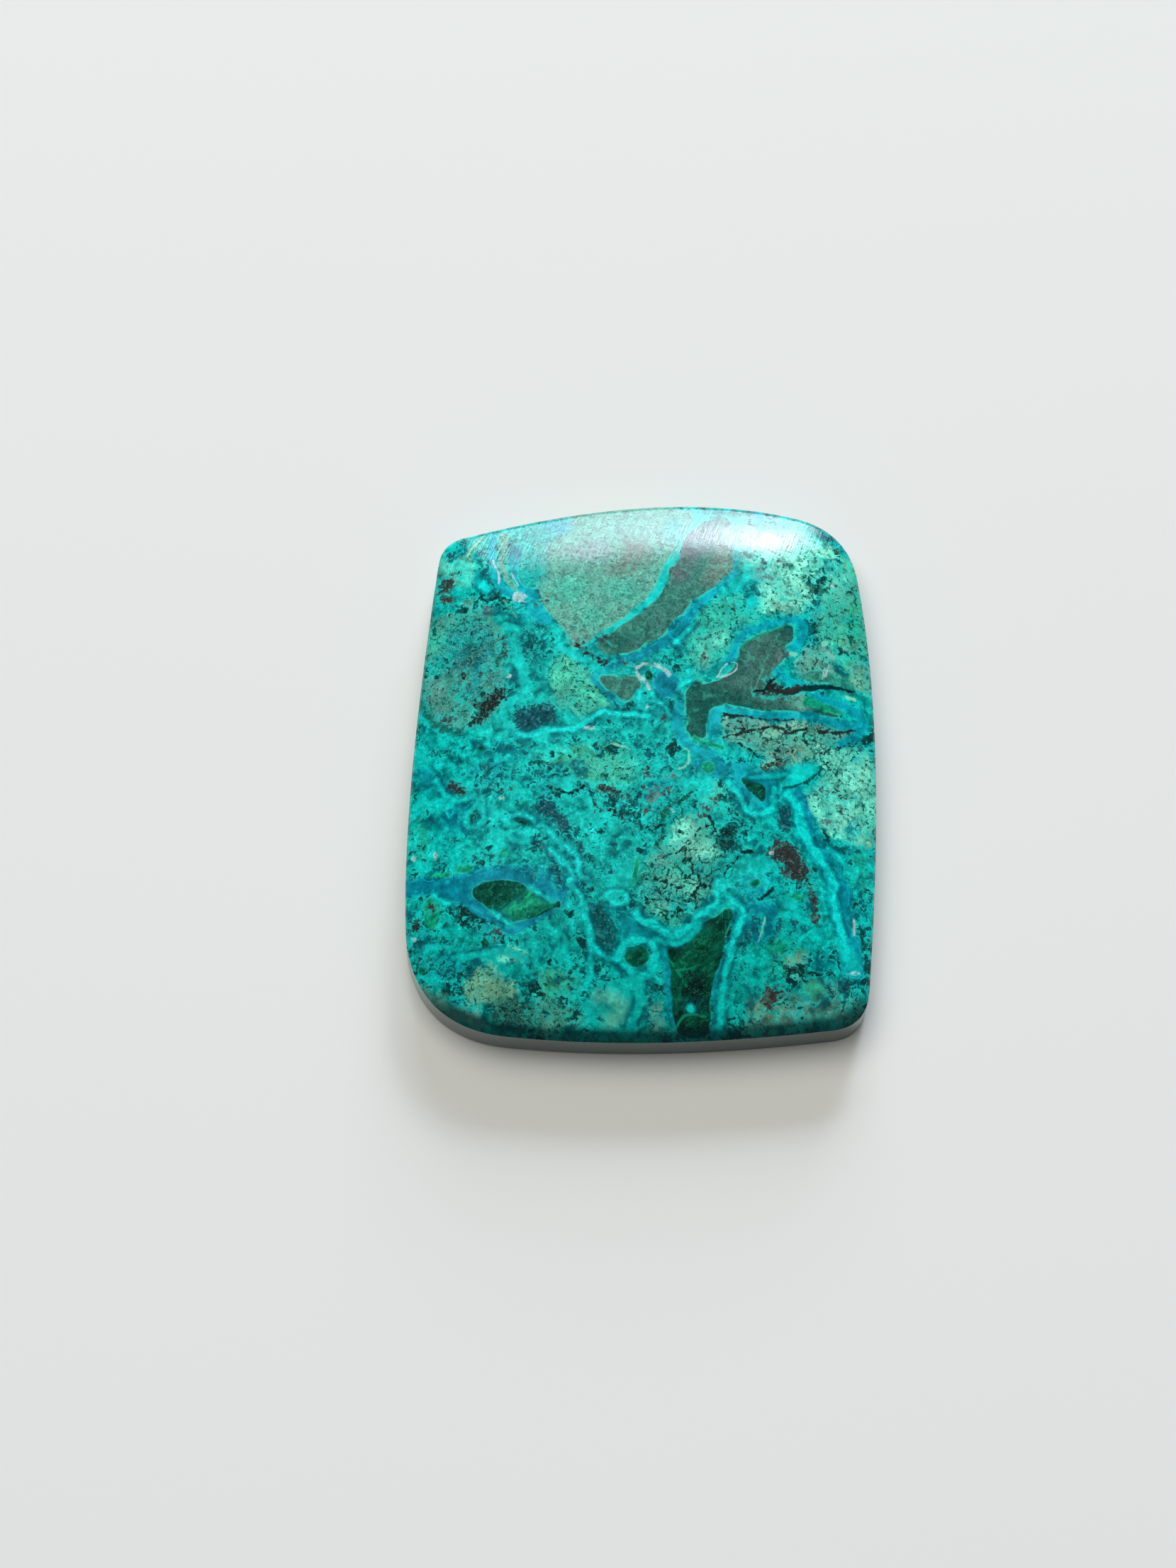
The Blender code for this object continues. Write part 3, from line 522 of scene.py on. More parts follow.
    area("deep teal", (-3.6, -9.4), (-2.6, -9.4), (-2.3, -9.9), (-1.9, -10.6), (-1.7, -11.3),
         (-1.6, -11.9), (-1.9, -12.6), (-2.4, -12.6), (-2.9, -12.2), (-3.2, -11.6), (-3.3, -10.8),
         (-3.6, -10.2)),
    stroke("dark olive", (0.2, 0.5), (-14.7, 5.4), (-14.1, 3.9), (-13.4, 2.8), (-12.6, 2.1),
           (-11.5, 1.75)),
    spot("brown", -12.3, 2.7, 0.7, 0.35, -30), spot("brown", -11.9, 4.6, 0.4),
    spot("brown", -10.2, 5.6, 0.35), spot("umber", 12.9, 13.9, 0.4, 0.5),
    area("umber", (6.9, 4.05), (7.4, 4.3), (7.9, 4.5), (8.1, 5.05), (8.35, 4.8), (8.7, 4.55), (9.3, 4.6),
         (9.9, 4.75), (10.1, 4.45), (9.4, 4.1), (8.7, 4.05), (7.9, 4.0)),
]

# Thin bright seams of quartz and chrysocolla
LACE = [
    stroke("lace", 0.3, (-10.4, 11.8), (-9.8, 11.2)),
    stroke("lace", 0.15, (3.2, 8.5), (2.6, 7.9), (2.0, 7.3)),
    stroke("lace", 0.25, (-8.0, 1.3), (-7.0, 1.3), (-6.0, 1.5), (-5.0, 1.6), (-4.2, 1.5), (-3.0, 2.4),
           (-2.4, 2.7), (-1.8, 2.6), (-1.3, 2.4), (-0.6, 2.65), (-0.1, 2.4), (0.4, 2.4)),
    stroke("lace", 0.2, (-0.3, 3.9), (-0.35, 3.3), (0.0, 2.9), (0.6, 3.0)),
    stroke("lace", 0.12, (0.5, 3.9), (1.0, 3.3), (1.5, 2.9), (1.7, 2.5)),
    stroke("lace", 0.15, (2.1, 4.2), (3.1, 4.9)),
    stroke("lace", 0.15, (6.7, -1.6), (7.3, -1.5), (8.0, -1.35), (8.8, -1.2)),
    stroke("lace", 0.2, (5.2, -1.9), (5.7, -2.5), (6.0, -3.1), (6.2, -3.6), (6.5, -3.95), (7.2, -3.9),
           (7.8, -3.6), (8.0, -3.4), (8.1, -2.8), (8.15, -2.2)),
    stroke("lace", 0.42, (8.95, -2.5), (9.4, -3.0), (9.6, -3.7), (9.8, -4.5), (10.1, -5.2), (10.6, -6.0),
           (11.0, -6.8), (11.4, -7.4), (11.7, -8.0), (11.7, -8.8), (11.8, -9.6), (12.1, -10.6),
           (12.4, -11.6), (12.4, -12.6)),
    stroke("lace", 0.15, (11.4, -5.8), (12.3, -6.6)),
    stroke("lace", (0.2, 0.32), (4.6, -8.3), (5.2, -9.2), (6.1, -9.65), (5.8, -10.7), (5.4, -11.95),
           (5.0, -13.2), (4.8, -14.7), (4.6, -16.8)),
    stroke("lace", 0.3, (-0.5, -10.0), (-0.45, -10.4), (0, -10.7), (0.5, -10.6), (0.8, -11.0),
           (1.3, -11.2), (1.75, -11.4), (2.2, -11.2), (2.6, -11.0), (3.0, -10.7), (3.2, -10.3),
           (3.65, -10.1), (4.1, -9.7), (4.45, -9.4), (4.4, -8.2)),
    stroke("bright", 0.15, (0.7, -11.6), (1.5, -11.9), (2.2, -11.75), (2.8, -11.4), (3.4, -10.9)),
    stroke("lace", 0.2, (-6.0, -4.8), (-5.6, -5.4), (-5.1, -5.8), (-4.7, -6.1), (-4.2, -6.45),
           (-4.0, -6.9), (-3.9, -7.5), (-3.75, -7.9), (-3.4, -7.9)),
    stroke("lace", 0.2, (-5.7, -6.1), (-5.1, -6.9), (-4.7, -7.1), (-4.5, -7.5), (-4.3, -8.0),
           (-4.7, -8.3), (-4.4, -8.55), (-4.0, -8.95), (-3.8, -9.5), (-3.6, -10.2), (-3.4, -10.8),
           (-3.25, -11.4), (-3.2, -12.0), (-2.7, -12.5), (-2.3, -12.9), (-1.9, -12.8), (-1.6, -13.0)),
    stroke("lace", 0.15, (-3.25, -12.0), (-3.3, -13.0), (-3.3, -13.8), (-3.6, -14.3)),
    stroke("lace", (0.3, 0.2), (-1.75, -12.8), (-1.4, -12.1), (-0.9, -11.8), (-0.1, -11.75),
           (0.45, -12.0), (0.75, -12.4), (0.6, -13.1), (0.4, -13.6), (-0.1, -13.9), (-0.6, -13.7),
           (-1.2, -13.3), (-1.75, -12.8)),
    stroke("bright", 0.45, (-0.3, -14.0), (-0.4, -14.6), (-0.3, -15.3), (-0.5, -16), (-0.8, -16.4),
           (-0.7, -17.2)),
    stroke("lace", 0.07, (-6.8, -8.5), (-6.2, -9.0), (-5.6, -9.4)),
    stroke("lace", 0.15, (-9.4, -10.0), (-8.8, -10.4), (-8.2, -10.75)),
    stroke("lace", 0.12, (-13.0, -8.7), (-12.4, -9.1), (-12.0, -9.3)),
    stroke("bright", 0.2, (-11.5, -12.6), (-10.5, -12.5), (-9.5, -12.4), (-8.7, -12.3), (-7.8, -12.6),
           (-7.2, -12.9)),
    # A painted highlight: the small glint on the blue spot in the malachite column, drawn as a dot of lace
    spot("lace", 2.85, -15.75, 0.3),
    stroke("bright", 0.14, (-10.5, -3.1), (-10.0, -3.4), (-9.9, -4.2), (-10.4, -4.75), (-11.0, -4.3),
           (-11.0, -3.6), (-10.5, -3.1)),
    stroke("bright", 0.22, (-12.9, -1.3), (-12.5, -2.3), (-11.6, -2.85), (-10.6, -2.5)),
    stroke("lace", 0.12, (-8.2, -3.9), (-7.4, -3.7), (-6.8, -4.3)),
    stroke("bright", 0.18, (-9.4, -4.9), (-8.6, -5.0), (-8.1, -5.5), (-7.2, -5.7)),
    stroke("lace", 0.12, (-2.3, -9.0), (-1.9, -8.7), (-1.2, -8.8), (-0.9, -9.3), (-1.5, -9.6),
           (-2.1, -9.4), (-2.3, -9.0)),
]

# Hair-fine pale seams, without a glow
SEAMS = [
    stroke("mint", 0.12, (-10.3, 15.6), (-11.3, 14.0)),
    stroke("white", 0.1, (-9.6, 13.5), (-9.5, 12.95), (-9.3, 12.5), (-9.2, 12.1), (-9.2, 11.7)),
    stroke("white", 0.1, (-8.37, 12.5), (-8.1, 12.0), (-7.85, 11.5)),
    stroke("spring", 0.14, (-8.8, 10.4), (-8.0, 9.2)),
    stroke("lichen", 0.08, (4.66, 14.2), (4.1, 13.0), (3.9, 12.5), (3.4, 11.9), (3.0, 11.7), (2.3, 11.3),
           (1.7, 10.7), (1.0, 9.9), (0.5, 9.5), (-0.1, 9.2)),
    stroke("lichen", 0.08, (-0.1, 8.3), (-1.06, 8.05), (-1.45, 7.7), (-1.9, 7.45)),
    stroke("mint", 0.12, (-2.1, 0.75), (-1.3, 0.4), (-0.9, 0.2)), spot("white", -3.3, 1.6, 0.6, 0.25),
    stroke("mint", 0.09, (2.5, 0.35), (2.8, 0.2), (2.85, -0.3), (2.8, -0.6), (2.6, -0.95), (2.1, -1.1)),
    stroke("white", 0.07, (4.7, 5.0), (4.85, 5.3), (5.1, 5.65), (5.4, 6.0), (5.8, 6.0), (6.0, 5.75),
           (5.7, 5.3), (5.3, 5.1), (4.8, 5.0)),
    stroke("mint", 0.06, (11.5, 5.2), (11.6, 6.0)), spot("mint", 9.5, 6.8, 0.5, 0.3),
    spot("mint", 11.7, 7.7, 0.5, 0.4), stroke("cream", 0.2, (13.0, 4.25), (13.6, 4.1)),
    stroke("leaf", 0.08, (6.2, 6.9), (6.7, 7.45), (7.5, 7.9), (8.4, 8.35), (9.3, 8.75)),
    # A thin white upright line near the right edge, whose cause is not known
    stroke("white", 0.1, (13.05, -10.2), (13.05, -11.2)),
    stroke("leaf", 0.14, (1.5, -12.9), (2.0, -13.6), (2.6, -14.4)),
    stroke("leaf", 0.12, (2.1, -13.5), (3.0, -13.4)),
    stroke("leaf", 0.12, (2.0, -16.8), (2.4, -16.2), (3.0, -16.0), (3.7, -16.2)),
    # The first stroke here is a painted highlight: a thin glint line, drawn as a pale seam
    stroke("mint", 0.06, (7.35, -10.3), (6.9, -11.8)), stroke("white", 0.1, (1.65, -3.6), (1.85, -3.8)),
    stroke("sage", 0.08, (7.7, 5.7), (7.3, 5.0), (7.0, 4.2)),
    stroke("white", 0.08, (11.7, 5.4), (11.85, 6.3)),
]

# Sugary white quartz that lines small hollows
DRUSE = [
    spot("white", -7.9, 10.65, 0.9, 0.7),
    stroke("white", 0.1, (-8.0, 11.15), (-7.9, 10.6), (-7.55, 10.15)),
    stroke("white", 0.22, (-0.4, 5.3), (-0.35, 5.6), (-0.1, 5.8), (0.4, 5.85), (0.5, 5.7)),
    stroke("white", 0.2, (0.75, 5.8), (1.1, 5.65), (1.4, 5.4), (1.65, 5.2)),
    stroke("white", 0.25, (-0.35, 5.2), (-0.3, 4.9), (0, 4.7), (0.2, 4.4), (0.4, 4.15)),
    spot("white", 0.35, 3.1, 0.25), spot("white", -8.5, 5.25, 0.3), spot("white", -14.3, -6.2, 0.35),
    spot("white", -12.9, -6.2, 0.3, 0.5), spot("white", -8.8, -2.8, 0.3, 0.2),
    # The last spot here is a short white dash near the right edge, whose cause is not known
    spot("white", -14.2, -11.3, 0.3), spot("white", 13.0, -13.5, 0.6, 0.15),
    spot("white", 7.85, -6.3, 0.25), spot("white", 12.2, 12.5, 0.2), spot("white", 12.3, 11.8, 0.2),
]

# Pale stone through which black dendrites branch
DENDRITES = [
    area("umber", (5.2, 2.3), (7.4, 2.4), (9.0, 2.3), (11.9, 2.2), (13.7, 2.0), (12.1, 1.1), (11.1, -0.3),
         (8.9, -0.9), (7.5, -0.9), (7.0, 0.2), (5.2, 0.8)),
    area("ink", (0.2, -6.8), (1.4, -7.2), (2.4, -6.9), (3.0, -5.0), (4.2, -4.4), (5.4, -5.0), (5.4, -7.0),
         (4.4, -8.6), (3.8, -9.5), (2.9, -10.5), (1.4, -10.8), (0.0, -10.2), (-0.5, -9.0), (-0.4, -7.8)),
    area("moss", (0.3, -3.4), (1.6, -2.8), (3.0, -2.2), (3.0, -3.8), (1.6, -5.4), (0.0, -5.4)),
    spot("ink", 11.6, -0.4, 2.0, 2.2), spot("navy", -6.8, 6.0, 1.6, 2.4),
    spot("ink", 4.9, -7.0, 1.8, 2.2), spot("ink", 9.2, 6.4, 0.6),
    spot("navy", 12.4, -15.6, 2.4, 1.4, -35), spot("ink", -5.2, -16.6, 0.9, 0.8),
    area("ink", (1.8, -13.4), (4.2, -13.2), (4.0, -17.3), (2.0, -17.3)),
    spot("moss", 1.9, -12.2, 1.2, 0.8),
]

# Thin open cracks, black with oxide
CRACKS = [
    stroke("ink", (0.12, 0.34), (7.0, 4.1), (7.6, 4.25), (8.0, 4.4), (8.6, 4.2), (9.3, 4.1), (9.8, 4.35),
           (10.2, 4.5), (10.9, 4.6)),
    stroke("ink", (0.34, 0.14), (7.9, 4.4), (8.1, 4.8), (8.35, 5.0)),
    stroke("ink", (0.3, 0.16), (10.2, 4.6), (11.3, 4.65), (12.4, 4.75), (13.0, 4.7), (13.6, 4.65)),
    stroke("brown", 0.3, (8.2, 4.3), (9.0, 4.2), (9.8, 4.5)),
    stroke("umber", 0.12, (4.9, 2.5), (6.0, 2.45), (7.0, 2.3), (8.2, 2.25), (9.4, 2.4)),
    stroke("moss", 0.12, (11.1, -0.3), (11.0, -0.9), (10.4, -1.5), (9.6, -1.9), (8.7, -2.1)),
    stroke("umber", 0.15, (5.0, 1.0), (5.4, 1.25), (5.75, 1.2), (6.2, 1.5), (6.55, 1.45), (6.95, 1.55),
           (7.35, 1.5), (7.75, 1.75), (8.15, 1.85), (8.7, 1.8), (9.0, 1.5), (9.15, 1.35), (9.5, 1.65),
           (10.05, 1.75), (10.6, 1.85), (10.9, 1.85), (11.25, 1.65), (11.7, 1.6), (12.3, 1.8),
           (13.0, 2.0), (13.5, 2.1)),
    stroke("umber", 0.08, (6.3, 1.5), (6.2, 1.9), (5.9, 2.2)),
    stroke("umber", 0.08, (8.9, 1.6), (9.0, 2.3)),
    stroke("ink", 0.1, (5.9, 0.7), (6.3, 0.5), (6.7, 0.2), (7.2, -0.2)),
    stroke("ink", 0.08, (8.0, 0.6), (8.3, 0.2), (8.7, 0.3), (9.1, 0.0), (9.4, 0.3)),
    stroke("ink", 0.08, (8.3, 0.2), (8.2, -0.2), (8.6, -0.4)),
    stroke("ink", 0.07, (9.1, 0.0), (9.3, -0.3)),
    stroke("ink", 0.09, (11.2, 0.3), (11.8, 0.7), (12.6, 0.9), (13.4, 1.4)),
    stroke("ink", 0.12, (4.0, -4.1), (4.2, -4.7), (4.4, -5.0), (4.6, -5.4), (4.9, -5.6)),
    stroke("ink", 0.1, (3.9, -4.7), (3.5, -4.8), (3.3, -5.0), (3.2, -5.3)),
    stroke("ink", 0.1, (2.7, -5.5), (3.0, -5.8), (2.5, -6.0), (2.2, -6.3), (1.9, -6.5)),
    stroke("ink", 0.08, (2.5, -6.0), (2.6, -6.5), (2.4, -6.8)),
    stroke("ink", 0.1, (3.3, -7.7), (3.5, -8.2), (3.1, -8.7), (3.0, -9.0), (2.5, -9.3)),
    stroke("ink", 0.09, (3.3, -7.9), (3.9, -7.8), (4.3, -7.5)),
    stroke("ink", 0.09, (3.5, -8.3), (4.0, -8.4)),
    stroke("ink", 0.1, (3.0, -9.0), (3.2, -9.4), (3.1, -9.9)),
    stroke("ink", 0.08, (2.5, -9.3), (2.0, -9.2)),
    stroke("ink", 0.1, (1.1, -7.2), (1.5, -7.5), (1.2, -8.0), (1.4, -8.5), (0.9, -8.9)),
    stroke("ink", 0.08, (0.6, -8.2), (1.2, -8.3), (1.9, -8.4), (2.4, -8.6)),
    stroke("ink", 0.12, (-0.1, -8.0), (0.4, -8.2), (0.8, -8.1)),
    stroke("ink", 0.08, (1.9, -8.4), (2.0, -9.0)),
    stroke("ink", 0.08, (0.1, -9.2), (0.8, -9.4), (1.5, -9.3)),
    stroke("ink", 0.1, (1.6, -10.3), (2.3, -9.9)), stroke("ink", 0.1, (2.0, -4.9), (2.2, -5.15)),
    stroke("ink", 0.12, (2.4, -6.9), (2.6, -6.7)),
    stroke("ink", 0.14, (1.0, -4.6), (0.5, -4.9), (0.0, -5.1)),
    stroke("ink", 0.1, (0.2, -4.7), (0.8, -5.2)), stroke("ink", 0.14, (6.0, -6.3), (6.7, -6.25)),
    stroke("ink", 0.1, (5.8, -6.6), (5.3, -7.2), (4.9, -7.7)),
    stroke("ink", 0.14, (-5.9, -2.2), (-5.2, -2.4), (-4.7, -2.6), (-4.2, -2.5), (-3.8, -2.2)),
    stroke("ink", 0.1, (5.2, -3.5), (5.6, -3.8), (5.8, -4.1)),
    stroke("ink", 0.2, (7.0, -9.2), (7.4, -9.0), (7.9, -8.7)),
]

LAYERS = {
    "clast": CLASTS,
    "dendrite": DENDRITES,
    "vein": VEINS,
    "fragment": FRAGMENTS,
    "malachite": MALACHITE,
    "oxide": OXIDES,
    "crack": CRACKS,
    "lace": LACE,
    "seam": SEAMS,
    "druse": DRUSE,
}

TINT_REACH = 0.9  # millimetres over which the colours of one layer blend into each other
WASH_SOFTNESS = 0.9  # how far, as a share of its size, a soft patch of the ground fades
WASH_EDGE = 0.6  # how much of the soft patch's colour is left at its edge
CORNER_CUT = 0.25  # the share of each step that the rounding of a line cuts off
PAINT_MARGIN = 2.0  # millimetres round a marking in which its distance is worked out
WASH_MARGIN = 2.5  # the same round a soft patch of the ground
TINY = 1e-9  # keeps a division by nothing away


def rounded(route, closed, rounds=2):
    """The line with its corners cut off, twice over, so that it runs as a curve."""
    line = np.array(route, float)
    for _ in range(rounds):
        following = np.roll(line, -1, axis=0) if closed else line[1:]
        current = line if closed else line[:-1]
        step = (following - current) * CORNER_CUT
        cut = np.stack([current + step, following - step], axis=1).reshape(-1, line.shape[1])
        line = cut if closed else np.vstack([line[:1], cut, line[-1:]])
    return line


def away_from(line, places):
    """Each place's distance to the line, and how far along the line its nearest point lies, in points."""
    nearest = np.full(len(places), np.inf)
    along = np.zeros(len(places))
    for k, (a, b) in enumerate(zip(line, line[1:])):
        run = b - a
        share = np.clip((places - a) @ run / max(run @ run, TINY), 0, 1)
        distance = np.linalg.norm(places - a - share[:, None] * run, axis=1)
        closer = distance < nearest
        nearest[closer] = distance[closer]
        along[closer] = k + share[closer]
    return nearest, along


def inside(outline, places):
    """Which places lie inside the closed outline."""
    crossings = np.zeros(len(places), int)
    for a, b in zip(outline, np.roll(outline, -1, axis=0)):
        spans = (a[1] > places[:, 1]) != (b[1] > places[:, 1])
        rise = b[1] - a[1] if b[1] != a[1] else TINY
        at = a[0] + (places[:, 1] - a[1]) / rise * (b[0] - a[0])
        crossings += spans & (places[:, 0] < at)
    return crossings % 2 == 1


def depth_inside(marking, places):
    """How far inside the marking's edge each place lies, in millimetres. It is negative outside."""
    kind, _, form = marking
    if kind == "area":
        outline = rounded(form, closed=True)
        distance, _ = away_from(np.vstack([outline, outline[:1]]), places)
        return np.where(inside(outline, places), distance, -distance)
    if kind == "stroke":
        width, route = form
        line = rounded(route, closed=False)
        distance, along = away_from(line, places)
        first, last = width if isinstance(width, tuple) else (width, width)
        return (first + (last - first) * along / (len(line) - 1)) / 2 - distance
    x, y, length, breadth, turn = form
    turned = math.radians(turn)
    away = places - (x, y)
    lengthways = away[:, 0] * math.cos(turned) + away[:, 1] * math.sin(turned)
    crossways = away[:, 1] * math.cos(turned) - away[:, 0] * math.sin(turned)
    share = np.hypot(lengthways / (length / 2), crossways / (breadth / 2))
    return (1 - share) * min(length, breadth) / 2


def reach_of(marking):
    """The lowest and highest corner of the box round the marking."""
    kind, _, form = marking
    if kind == "spot":
        x, y, length, breadth, _ = form
        half = max(length, breadth) / 2
        return np.array([x - half, y - half]), np.array([x + half, y + half])
    points = np.array(form if kind == "area" else form[1], float)
    return points.min(0), points.max(0)


def near(marking, places, margin):
    """Which places lie within the margin of the box round the marking."""
    low, high = reach_of(marking)
    return np.all((places > low - margin) & (places < high + margin), axis=1)


def layer_of(markings, places):
    """The depth inside the nearest marking of a layer, and its colour, at each place. Later markings
    are painted over earlier ones."""
    depth = np.full(len(places), -FAR)
    tint = np.ones((len(places), 3)) * np.array(linear(PALETTE["turquoise"]))
    for marking in markings:
        close = near(marking, places, PAINT_MARGIN)
        here = depth_inside(marking, places[close])
        cover = np.clip(here / TINT_REACH + 0.5, 0, 1)
        cover[(here > depth[close]) & (depth[close] < 0)] = 1
        tint[close] += cover[:, None] * (np.array(linear(PALETTE[marking[1]])) - tint[close])
        depth[close] = np.maximum(depth[close], here)
    return depth, tint


def ground_of(markings, places):
    """The ground's colour at each place: soft patches laid over each other."""
    tint = np.ones((len(places), 3)) * np.array(linear(PALETTE["turquoise"]))
    for marking in markings:
        close = near(marking, places, WASH_MARGIN)
        here = depth_inside(marking, places[close])
        size = min(marking[2][2:4]) / 2
        cover = np.clip(here / (size * WASH_SOFTNESS) + WASH_EDGE, 0, 1)
        cover = (cover * cover * (3 - 2 * cover))[:, None]
        tint[close] = tint[close] * (1 - cover) + cover * np.array(linear(PALETTE[marking[1]]))
    return tint


# --- The stone's mesh ----------------------------------------------------------------------------

def outline_of_frame(height):
    """The outline that the frame's solid has at a height, as a fine closed curve, in millimetres."""
    corners = {
        (round(v.co.x / MM, 4), round(v.co.y / MM, 4))
        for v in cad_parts[STONE_NODE].data.vertices
        if abs(v.co.z / MM - height) < SAME_HEIGHT
    }
    loop = np.array(sorted(corners, key=lambda p: math.atan2(p[1], p[0])))
    before, after, beyond = (np.roll(loop, k, axis=0) for k in (1, -1, -2))
    curve = []
    for k in range(OUTLINE_FINENESS):
        t = k / OUTLINE_FINENESS
        curve.append(0.5 * (2 * loop + (after - before) * t
                            + (2 * before - 5 * loop + 4 * after - beyond) * t**2
                            + (3 * loop - before - 3 * after + beyond) * t**3))
    return np.stack(curve, axis=1).reshape(-1, 2)


def corner_places(curve):
    """Where the curve's corners are: front right, back right, back left and front left."""
    size = np.abs(curve).max(0)
    found = []
    for x, y in ((1, -1), (1, 1), (-1, 1), (-1, -1)):
        found.append(int(np.argmax((curve / size) @ (x, y))))
    return found


def side_point(curve, corners, side, share):
    """The points of the curve at shares of the way along one side, evenly spaced by length."""
    start, end = corners[side], corners[(side + 1) % 4]
    count = (end - start) % len(curve)
    stretch = curve[(start + np.arange(count + 1)) % len(curve)]
    walked = np.concatenate([[0], np.cumsum(np.linalg.norm(np.diff(stretch, axis=0), axis=1))])
    at = share * walked[-1]
    return np.stack([np.interp(at, walked, stretch[:, k]) for k in (0, 1)], axis=1)


def on_outline(curve, corners, u, v):
    """Takes each point of the square from -1 to 1 to a point on the outline in its direction, and gives the
    square's ring that it lies on, from 0 in the middle to 1."""
    ring = np.maximum(np.abs(u), np.abs(v))
    safe = np.maximum(ring, TINY)
    places = np.zeros((len(u), 2))
    sides = (
        (u >= ring - TINY, v),
        (v >= ring - TINY, -u),
        (u <= TINY - ring, -v),
        (v <= TINY - ring, u),
    )
    for side, (chosen, along) in enumerate(sides):
        share = (along[chosen] / safe[chosen] + 1) / 2
        places[chosen] = side_point(curve, corners, side, share)
    return places, ring


def dome_height(share, top):
    """The height of the face, in millimetres, at a share of the way from the middle to its edge."""
    return EDGE_HEIGHT + (top - EDGE_HEIGHT) * (1 - share**DOME_SPREAD)


def coordinates(mesh):
    """The mesh's points, in metres, one to a row."""
    flat = np.empty(len(mesh.vertices) * 3, np.float32)
    mesh.vertices.foreach_get("co", flat)
    return flat.reshape(-1, 3).astype(float)


def put_back(mesh, points):
    mesh.vertices.foreach_set("co", points.astype(np.float32).ravel())
    mesh.update()


def select_where(piece, test):
    """Selects, in edit mode, the open edges whose two ends pass the test, and nothing else."""
    mesh = bmesh.from_edit_mesh(piece.data)
    for part in (*mesh.verts, *mesh.edges, *mesh.faces):
        part.select = False
    for edge in mesh.edges:
        if edge.is_boundary and all(test(v.co / MM) for v in edge.verts):
            edge.select_set(True)
    bmesh.update_edit_mesh(piece.data)


def new_grid(name, cells):
    """A flat square grid from -1 to 1, selected and active."""
    bpy.ops.object.select_all(action="DESELECT")
    bpy.ops.mesh.primitive_grid_add(x_subdivisions=cells, y_subdivisions=cells, size=2)
    piece = bpy.context.active_object
    piece.name = piece.data.name = name
    return piece


def lay_face(curve, corners, top):
    """The domed face: a square grid laid ring by ring over the outline and lifted to the dome."""
    piece = new_grid("polished_cabochon", FACE_CELLS)
    flat = coordinates(piece.data)
    places, ring = on_outline(curve, corners, flat[:, 0], flat[:, 1])
    put_back(piece.data, np.column_stack([places * ring[:, None], dome_height(ring, top)]) * MM)
    return piece


def lay_back(curve, corners):
    """The flat back, a coarser grid that faces down."""
    piece = new_grid("cabochon_back", BACK_CELLS)
    flat = coordinates(piece.data)
    places, ring = on_outline(curve, corners, flat[:, 0], flat[:, 1])
    put_back(piece.data, np.column_stack([places * ring[:, None] * BACK_SHARE, ring * 0]) * MM)
    piece.data.flip_normals()
    return piece


def next_row(drop, grow, centre):
    """Extrudes the selected edge loop down into the next row of the side."""
    bpy.ops.mesh.extrude_edges_move(TRANSFORM_OT_translate={"value": (0, 0, -drop * MM)})
    bpy.ops.transform.resize(value=(grow[0], grow[1], 1), center_override=centre)


def spans(curve):
    """The curve's width and length."""
    return curve.max(0) - curve.min(0)


def add_side(piece, face_edge):
    """Extrudes the face's edge over its small bevel, down the wall in rows and in over the back's bevel."""
    wall_top, base, back = (outline_of_frame(z) for z in (WALL_TOP, BACK_BEVEL, 0.0))
    middle = (base.max(0) + base.min(0)) / 2 * MM
    centre = (middle[0], middle[1], 0)
    bpy.ops.object.select_all(action="DESELECT")
    piece.select_set(True)
    bpy.context.view_layer.objects.active = piece
    bpy.ops.object.mode_set(mode="EDIT")
    select_where(piece, lambda co: True)
    for _ in range(EDGE_ROWS):
        next_row(EDGE_BEVEL / EDGE_ROWS, (spans(wall_top) / spans(face_edge)) ** (1 / EDGE_ROWS), centre)
    for _ in range(WALL_ROWS):
        grow = (spans(base) / spans(wall_top)) ** (1 / WALL_ROWS)
        next_row((WALL_TOP - BACK_BEVEL) / WALL_ROWS, grow, centre)
    next_row(BACK_BEVEL, spans(back) / spans(base), centre)
    bpy.ops.object.mode_set(mode="OBJECT")
    return back


def close_back(piece, back):
    """Joins the back to the bevel with a bridge between their edge loops."""
    bpy.ops.object.select_all(action="DESELECT")
    back.select_set(True)
    piece.select_set(True)
    bpy.context.view_layer.objects.active = piece
    bpy.ops.object.join()
    bpy.ops.object.mode_set(mode="EDIT")
    select_where(piece, lambda co: co.z < NEAR_BACK)
    bpy.ops.mesh.bridge_edge_loops()
    bpy.ops.mesh.select_all(action="SELECT")
    bpy.ops.mesh.normals_make_consistent(inside=False)
    bpy.ops.object.mode_set(mode="OBJECT")
    bpy.ops.object.shade_smooth_by_angle(angle=CREASE_ANGLE)


def pattern_places(points):
    """Where on the drawing each point of the mesh lies: about right below it on the face, and along the dip
    of the markings further down. The drawing is shaken everywhere, and more the deeper the point lies."""
    noise.seed_set(SHAKE_SEED)
    sunk = np.maximum(EDGE_HEIGHT - points[:, 2], 0)
    places = points[:, :2] + sunk[:, None] * np.array(DIP)
    for k, point in enumerate(points):
        place = Vector(point)
        for length, reach in SHAKES:
            places[k] += np.array(noise.noise_vector(place / length)[:2]) * reach
        if sunk[k] > 0:
            places[k] += np.array(noise.noise_vector(place / WANDER_LENGTH)[:2]) * DEEP_WANDER * sunk[k]
    return places


def store(mesh, name, kind, values):
    """Keeps one value or one colour for each point on the mesh."""
    attribute = mesh.attributes.new(name, kind, "POINT")
    key = "value" if kind == "FLOAT" else "color"
    attribute.data.foreach_set(key, values.astype(np.float32).ravel())


def with_alpha(tint):
    return np.column_stack([tint, np.ones(len(tint))])


